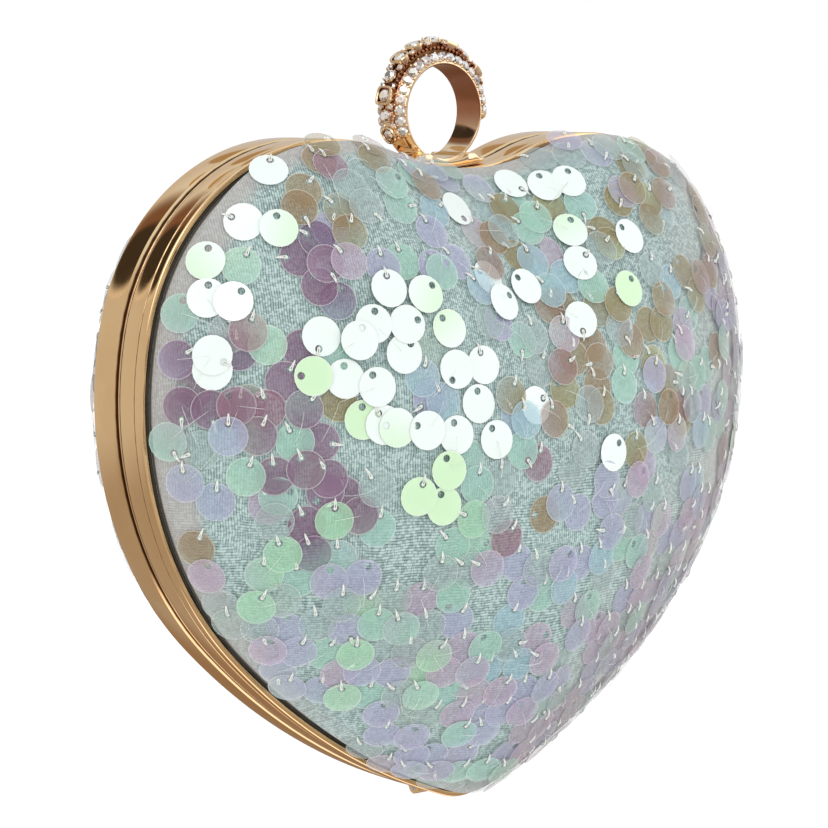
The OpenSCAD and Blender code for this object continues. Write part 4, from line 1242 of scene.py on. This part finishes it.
def knuckleShape(start, end):
    # A short tube along X round the pivot, with an arm that reaches forwards into the foot
    look, turn = pivotLook, fullTurn(pivotLook["sides"])[:, None]
    section = roundedProfile([(look["bore"], start, 0.05), (look["barrel"], start, 0.12),
                              (look["barrel"], end, 0.12), (look["bore"], end, 0.05)], 4)
    radius, x = section.T
    points = np.stack([np.broadcast_to(x, (len(turn), len(x))), look["back"] + radius * np.sin(turn),
                       look["level"] + radius * np.cos(turn)], -1)
    low, high = zip((start + look["armInset"], end - look["armInset"]), look["armBack"], look["armLevel"])
    tube = points.reshape(-1, 3), [gridFaces(len(turn), len(x), True, True)]
    return joined([tube, boxShape(low, high)])


def beadShape(radius):
    # The rings' heights are in degrees
    points, faces = ballShape((-50, -10, 30, 65), 8)
    return points * radius, faces


# A cut stone's rings: 1 where it is turned by half a facet, its share of the diameter and of the height
stoneRings = ((0, 0.54, 1.0), (1, 0.82, 0.72), (0, 1.0, 0.4), (0, 0.98, 0.0))


def stoneShape(diameter, height, sides=8):
    # A cut stone: table, a ring of points half way, the girdle and a shallow base
    points = []
    for turned, share, level in stoneRings:
        turn = fullTurn(sides) + turned * np.pi / sides
        points.append(np.stack([np.cos(turn) * share * diameter / 2, np.sin(turn) * share * diameter / 2,
                                np.full(sides, height * level)], -1))
    i = np.arange(sides)
    j = (i + 1) % sides
    i1, j1, i2, j2 = i + sides, j + sides, i + 2 * sides, j + 2 * sides
    kites = np.concatenate([np.stack(corners, -1) for corners in ((j, j1, i1), (i1, j1, j2), (i2, j2, i1))])
    girdle = np.stack([i2, i + 3 * sides, j + 3 * sides, j2], -1)
    return np.concatenate(points), [np.stack([i, j, i1], -1), kites, girdle, lid(0, sides),
                                    lid(3 * sides, sides, True)]


# milkiness and polish are ranges of the cloud's noise, and what they become
crystalLook = {"cloud": (1200.0, 2.0), "milkiness": (0.35, 0.7, 0, 0.3), "milk": srgb(250, 244, 238),
               "polish": (0.3, 0.7, 0.02, 0.09), "metallic": 0.75, "coat": 0.02}


def crystalMaterial():
    # Foil-backed glass: each facet throws back a different part of the room, and each also carries a
    # painted reflection as its tone
    look = crystalLook
    material, tree = newMaterial("cutCrystal")
    cloud = noiseNode(tree, objectPlace(tree), *look["cloud"])
    tone = storedValue(tree, "facetReflection")["Color"]
    tone = mixColour(tree, mapRange(tree, cloud, *look["milkiness"]), tone, look["milk"])
    shade(tree, {"Base Color": tone, "Roughness": mapRange(tree, cloud, *look["polish"]),
                 "Metallic": look["metallic"], "Coat Weight": 1.0, "Coat Roughness": look["coat"]})
    return material


cutCrystal = crystalMaterial()
# The painted reflections of the facets: their tones, and how many of them have each
facetReflections = [((255, 252, 246), 0.34), ((236, 228, 220), 0.18), ((206, 192, 182), 0.12), ((150, 132, 122), 0.1),
          ((92, 74, 66), 0.07), ((244, 222, 210), 0.08), ((222, 206, 222), 0.05), ((250, 240, 214), 0.06)]


def paintFacetReflections(piece):
    # One random tone for each facet, a painted reflection
    count = len(piece.data.polygons)
    tones = np.array([(*srgb(*tone), 1) for tone, _ in facetReflections])
    picks = random.choice(len(facetReflections), count, p=[share for _, share in facetReflections])
    corners = np.empty(count, np.int32)
    piece.data.polygons.foreach_get("loop_total", corners)
    setColours(piece, "facetReflection", "CORNER", np.repeat(tones[picks], corners, axis=0))


look = ringLook
footPoints, footFaces = footShape()
foot = newPiece("footWork", footPoints * millimetre, footFaces)
boreProfile = np.array([[-7.0, 10.25], [-3.95, 10.25], [-3.8, look["bore"]], [7.0, look["bore"]]])
boreSides = 180
boreRadius = np.broadcast_to(boreProfile[:, 1:], (len(boreProfile), boreSides))
tube = aroundRing(fullTurn(boreSides)[None], boreRadius, boreProfile[:, :1]).reshape(-1, 3)
cutAway(foot, newPiece("cutter", tube * millimetre, tubeFaces(len(boreProfile), boreSides, True),
                       smooth=False))
footPoints, footFaces = pieceParts(foot)
bpy.data.objects.remove(foot, do_unlink=True)
first, pitch = look["from"], (look["to"] - look["from"]) / look["stones"]
beadAngles = np.radians(first + pitch * np.arange(look["stones"] + 1))
beads = []
for side in (-1, 1):
    for radius, reach in look["beadRows"]:
        spots = aroundRing(beadAngles, np.full(len(beadAngles), radius), reach) * [1, side, 1]
        beads.append(copies(*beadShape(look["beadRadius"]), spots, ringAxes(beadAngles)))
plainBand = bandShape()
knuckles = [knuckleShape(*span) for span in pivotLook["spans"]]
points, faces = joined([plainBand, *knuckles, (footPoints / millimetre, footFaces)] + beads)
band = newPiece("ringBand", points * millimetre, faces, metal["ringGold"])
crispEdges(band, look["creaseAngle"])
# painted shade: the bore is darkened towards the top, and so are the slopes between the stones
x, y, z = plainBand[0].T
radius, degrees = np.hypot(x, z), np.degrees(np.arctan2(z, x)) % 360
inside = smoothStep(radius, 10.15, 9.95) * smoothStep(z, -9, 1) * 0.92
slopes = smoothStep(radius, 10.45, 10.7) * (np.abs(y) > 1.9) * smoothStep(degrees, 200, 190) * 0.9
paintedShade = np.zeros(len(points))
paintedShade[:len(x)] = np.maximum(inside, slopes)
setNumbers(band, "paintedShade", paintedShade)
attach(band, "ring_clasp")
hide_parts("ring_band")

# edge stones lie square on the slopes
stoneAngles = np.radians(first + pitch * (np.arange(look["stones"]) + 0.5))
lean = math.atan2(look["rail"] - look["edge"], look["slope"])
middle = np.full(len(stoneAngles), (look["rail"] + look["edge"]) / 2)
spots = aroundRing(stoneAngles, middle, look["slope"] / 2 - look["half"])
for side, name, node in ((1, "frontEdgeStones", "ring_front_stones"),
                         (-1, "backEdgeStones", "ring_back_stones")):
    mirror = np.array([1, side, 1])
    stone = stoneShape(look["stoneD"], look["stoneH"])
    points, faces = copies(*stone, spots * mirror, ringAxes(stoneAngles, lean) * mirror)
    piece = newPiece(name, points * millimetre, faces, cutCrystal, smooth=False)
    paintFacetReflections(piece)
    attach(piece, "ring_clasp")
    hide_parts(node)


def crownReach(angle):
    # How far the crown's lifted circle, or the rail where that is more, lies from the bore's centre
    radius, lift = crownLook["radius"], crownLook["lift"]
    circle = lift * np.sin(angle) + np.sqrt(radius ** 2 - (lift * np.cos(angle)) ** 2)
    return np.maximum(ringLook["rail"], circle)


def crownStrip():
    # A raised strip round the ring, as high as the crown's lifted circle, with rounded shoulders
    look = crownLook
    angle = np.radians(np.linspace(ringLook["from"] - 2, ringLook["to"] + 2, look["sections"]))[:, None]
    section = mirroredProfile([(0, -look["half"], 0.05), (1, -look["topHalf"], 0.4)])
    radius = look["floor"] + section[None, :, 0] * (crownReach(angle) - look["sink"] - look["floor"])
    points = aroundRing(angle, radius, section[None, :, 1])
    return points.reshape(-1, 3), tubeFaces(len(angle), len(section), True)


# A cup's wall from its foot over the rim to the seat: shares of its size, of its height and of the flutes
cupWall = ((0.9, -0.4, 0.3), (1.0, 0.5, 1.0), (1.04, 0.86, 0.6), (1.0, 1.0, 0), (0.88, 1.0, 0),
           (0.8, 0.88, 0), (0.78, 0.3, 0), (0.3, 0.28, 0))
fluteDepth = 0.035


def cupShape(length, width, square, flutes, height, sides=40):
    # A cup whose outline runs from round (square 2) to boxy (square 6), its rim rolled, fluted outside
    turn = fullTurn(sides)
    reach = 1 / (np.abs(np.cos(turn)) ** square + np.abs(np.sin(turn)) ** square) ** (1 / square)
    rows = []
    for share, level, fluted in cupWall:
        outward = reach * share * (1 + fluteDepth * fluted * np.cos(flutes * turn))
        rows.append(np.stack([np.cos(turn) * outward * length / 2, np.sin(turn) * outward * width / 2,
                              np.full(sides, level * height)], -1))
    return np.concatenate(rows), tubeFaces(len(cupWall), sides)


# Claws: their sides and steps, how far out they stand and lean, their length beyond the height, and the
# round seat between them, with its shares of the claws' diameter and height
prongLook = {"at": (45, 135, 225, 315), "sides": 6, "steps": 5, "reach": 0.86, "lean": 0.16, "wave": 0.8,
             "below": 0.3, "beyond": 0.45, "radius": 0.24, "taper": 0.35, "seat": 0.94, "seatHeight": 0.45}


def prongShape(diameter, height):
    # Four short claws round an open seat, each leaning out and in again along part of a sine wave
    look, sides = prongLook, prongLook["sides"]
    t, turn = np.linspace(0, 1, look["steps"]), fullTurn(sides)
    reach = diameter / 2 * (look["reach"] + look["lean"] * np.sin(t * np.pi * look["wave"]))
    ring = np.stack([np.cos(turn), np.sin(turn), np.zeros(sides)], -1)
    width = (look["radius"] * (1 - look["taper"] * t))[:, None, None]
    parts = []
    for degrees in look["at"]:
        x, y = unit(degrees)
        middle = np.stack([reach * x, reach * y, -look["below"] + (height + look["beyond"]) * t], -1)
        parts.append(((middle[:, None] + ring[None] * width).reshape(-1, 3), tubeFaces(len(t), sides)))
    seat = diameter * look["seat"]
    parts.append(cupShape(seat, seat, square=2, flutes=8, height=height * look["seatHeight"], sides=24))
    return joined(parts)


# Each kind of setting: its metal, its stone and how far the stone stands in it
settingKinds = {
    "round": (cupShape(3.7, 3.8, square=2, flutes=0, height=1.3), stoneShape(2.7, 0.9), 0.6),
    "oval": (cupShape(3.6, 4.2, square=2.4, flutes=0, height=1.3), stoneShape(2.7, 0.9), 0.6),
    "square": (cupShape(4.0, 4.2, square=4.5, flutes=16, height=1.4), stoneShape(2.9, 0.95), 0.65),
    "baguette": (cupShape(4.1, 2.8, square=7, flutes=0, height=1.25), stoneShape(2.2, 0.6, sides=4), 0.6),
    "prong": (prongShape(3.1, height=1.1), stoneShape(2.852, 1.05), 0.4),
    "cluster": (prongShape(3.6, height=1.4), stoneShape(3.312, 1.05), 0.7),
    "small": (prongShape(1.5, height=0.5), stoneShape(1.5, 0.55), 0.2),
}
# The settings along the crown, from the right foot over the top to the left
settings = ["round", "prong", "oval", "prong", "baguette", "cluster", "round", "oval", "prong", "square",
            "prong", "round"]
cupParts, stoneParts = [], []


def addSettings(kind, angles, sink, y):
    setting, stone, lift = settingKinds[kind]
    spots, axes = aroundRing(angles, crownReach(angles) - sink, y), ringAxes(angles)
    cupParts.append(copies(*setting, spots, axes))
    stoneParts.append(copies(*stone, spots + axes[:, 2] * lift, axes))


look = crownLook
last = ringLook["to"]
settingAngles = np.radians(np.linspace(first + look["margin"], last - look["margin"], len(settings)))
for kind, angle in zip(settings, settingAngles):
    addSettings(kind, np.array([angle]), look["settingSink"], 0.0)
# small claw-set stones fill the corners between the settings, and beads run along the crown's sides
gaps = (settingAngles[1:] + settingAngles[:-1]) / 2
sides = np.radians(np.arange(first + 2, last - 1, look["beadPitch"]))
for side in (-1, 1):
    addSettings("small", gaps, look["smallSink"], side * look["smallSide"])
    radius = (crownReach(sides) + ringLook["rail"]) / 2 - 0.15
    spots = aroundRing(sides, radius, side * look["beadSide"])
    cupParts.append(copies(*beadShape(look["beadRadius"]), spots, ringAxes(sides)))
# the strip under the settings is a very dark gold, the cups a lighter one
for name, parts, node, finish in (("ringCrown", [crownStrip()], "ring_crown", "darkGold"),
                                  ("ringCups", cupParts, "ring_cups", "ringGold")):
    points, faces = joined(parts)
    piece = newPiece(name, points * millimetre, faces, metal[finish])
    crispEdges(piece, ringLook["creaseAngle"])
    # painted shade: the cups are darkened in their seats and at their feet
    rise = np.hypot(points[:, 0], points[:, 2]) - crownReach(np.arctan2(points[:, 2], points[:, 0]))
    setNumbers(piece, "paintedShade", smoothStep(rise, look["cupShadeReach"], -look["cupShadeReach"]) * look["cupShade"])
    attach(piece, "ring_clasp")
    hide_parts(node)
points, faces = joined(stoneParts)
crownStones = newPiece("crownStones", points * millimetre, faces, cutCrystal, smooth=False)
paintFacetReflections(crownStones)
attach(crownStones, "ring_clasp")
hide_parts("ring_crown_stones")
print("finger ring built")

# Finishes for the pieces that keep their own shape
finishes = (
    (metal["brushedSteel"], ("hinge_pin", "clasp_pins", "clasp_spring", "catch_spring", "clasp_tongue",
                             "back_hinge_rivets", "front_hinge_rivets")),
    (metal["roseGold"], ("clasp_lugs", "back_hinge_leaf", "front_hinge_leaf")),
    (plastic["mouldedBoard"], ("back_shell", "front_shell")),
)
for material, names in finishes:
    for name in names:
        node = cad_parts[name]
        node.data.materials.clear()
        node.data.materials.append(material)
print("hardware finished")


# Studio: pale floor, white room, large soft lights, and a room that only the polished surfaces see
studio = {
    "floorGap": 0.036, "floorHalf": 12.0, "floorTone": 0.9, "floorLight": (1.02, 1.02, 1.015),
    "floorGlow": 0.13, "world": 1.0, "aim": (0, 0, -0.07),
    "wall": 0.62, "ceiling": 0.82, "ground": 0.42, "table": 1.5, "roomRadius": 6.0,
    "roomTilts": (-88, 88, 33), "roomSides": 64,
}
# Place, size and power of each soft light
softLights = {"keyLight": ((-0.9, -1.3, 1.2), 1.0, 5), "fillLight": ((1.3, -1.0, 0.5), 1.2, 2)}


def grey(value, warm=1.0):
    return value, value * (0.5 + 0.5 * warm), value * warm


# What the room holds besides walls, each a soft-edged circle: its direction from the part, the degrees
# within which it is full and beyond which it is gone, and its colour. In order: two softboxes in front,
# two warm cards and a warm shade behind on the right, and a dark panel with a light rim and a brown
# middle shade behind on the left.
roomSpots = [
    ((-0.5, -0.75, 0.45), 14, 20, grey(2.2)), ((0.8, -0.55, 0.2), 10, 24, grey(1.32)),
    ((0.40, 0.75, 0.52), 6, 6.5, (0.42, 0.30, 0.16)), ((0.15, 0.70, 0.70), 7, 7.5, (0.50, 0.36, 0.20)),
    ((0.46, 0.74, -0.49), 12, 32, (0.31, 0.21, 0.13)), ((-0.36, 0.80, 0.48), 13.5, 14.5, grey(0.72, 0.9)),
    ((-0.2, 0.78, 0.58), 5, 17, (0.20, 0.11, 0.07)), ((-0.36, 0.80, 0.48), 9, 13, grey(0.05, 0.6)),
]

# The room's own tones by height: where each begins, where it is full, and its colour
roomBands = [
    (0.45, 0.75, grey(studio["ceiling"], 1.25)), (-0.16, -0.42, grey(studio["ground"], 0.8)),
    (-0.76, -0.88, grey(studio["table"], 0.95)),
]

for name, (place, size, power) in softLights.items():
    light = bpy.data.lights.new(name, "AREA")
    light.shape = "SQUARE"
    light.size, light.energy = size, power
    lamp = bpy.data.objects.new(name, light)
    scene.collection.objects.link(lamp)
    lamp.visible_camera = False
    away = normalised(np.array(place) - studio["aim"])
    sideways = normalised(np.cross([0, 0, 1.0], away))
    stand(lamp, sideways, np.cross(away, sideways), away, place)

half, level = studio["floorHalf"], -case["ringLevel"] * millimetre - studio["floorGap"]
corners = np.array([[-half, -half, level], [half, -half, level], [half, half, level], [-half, half, level]])
floor = newPiece("floor", corners, [lid(0, 4)], smooth=False, outward=False)
material, tree = newMaterial("paleFloor")
tone = np.full(3, studio["floorTone"])
paper = mixColour(tree, noiseNode(tree, objectPlace(tree), 40.0, 4.0), tone, tone * studio["floorLight"])
shade(tree, {"Base Color": paper, "Roughness": 0.9, "Emission Color": (1, 1, 1),
             "Emission Strength": studio["floorGlow"]})
floor.data.materials.append(material)
floor.visible_glossy = False
scene.view_settings.view_transform = "Standard"
world = bpy.data.worlds.new("studioRoom")
scene.world = world
world.use_nodes = True
background = world.node_tree.nodes["Background"].inputs
background["Color"].default_value = (1, 1, 1, 1)
background["Strength"].default_value = studio["world"]


def reflectionRoom():
    # A room that only shiny surfaces see: its ceiling, walls, ground and table by height, then its spots
    points, faces = ballShape(np.linspace(*studio["roomTilts"]), studio["roomSides"])
    room = newPiece("reflectionRoom", points * studio["roomRadius"], faces)
    material, tree = newMaterial("roomWalls")
    away = addNode(tree, "ShaderNodeVectorMath", objectPlace(tree), operation="NORMALIZE").outputs[0]
    height = addNode(tree, "ShaderNodeSeparateXYZ", away).outputs[2]
    tone = grey(studio["wall"], 0.97)
    for low, high, colour in roomBands:
        tone = mixColour(tree, mapRange(tree, height, low, high), tone, colour)
    for direction, inner, outer, colour in roomSpots:
        dot = addNode(tree, "ShaderNodeVectorMath", away, normalised(np.array(direction)),
                      operation="DOT_PRODUCT").outputs["Value"]
        edge = mapRange(tree, dot, math.cos(math.radians(outer)), math.cos(math.radians(inner)))
        tone = mixColour(tree, edge, tone, colour)
    shade(tree, {"Emission Color": tone, "Emission Strength": 1.0, "Base Color": (0, 0, 0),
                 "Specular IOR Level": 0.0})
    room.data.materials.append(material)
    room.visible_camera = room.visible_diffuse = room.visible_shadow = False
    room.visible_transmission = room.visible_volume_scatter = False


reflectionRoom()
print("studio set")
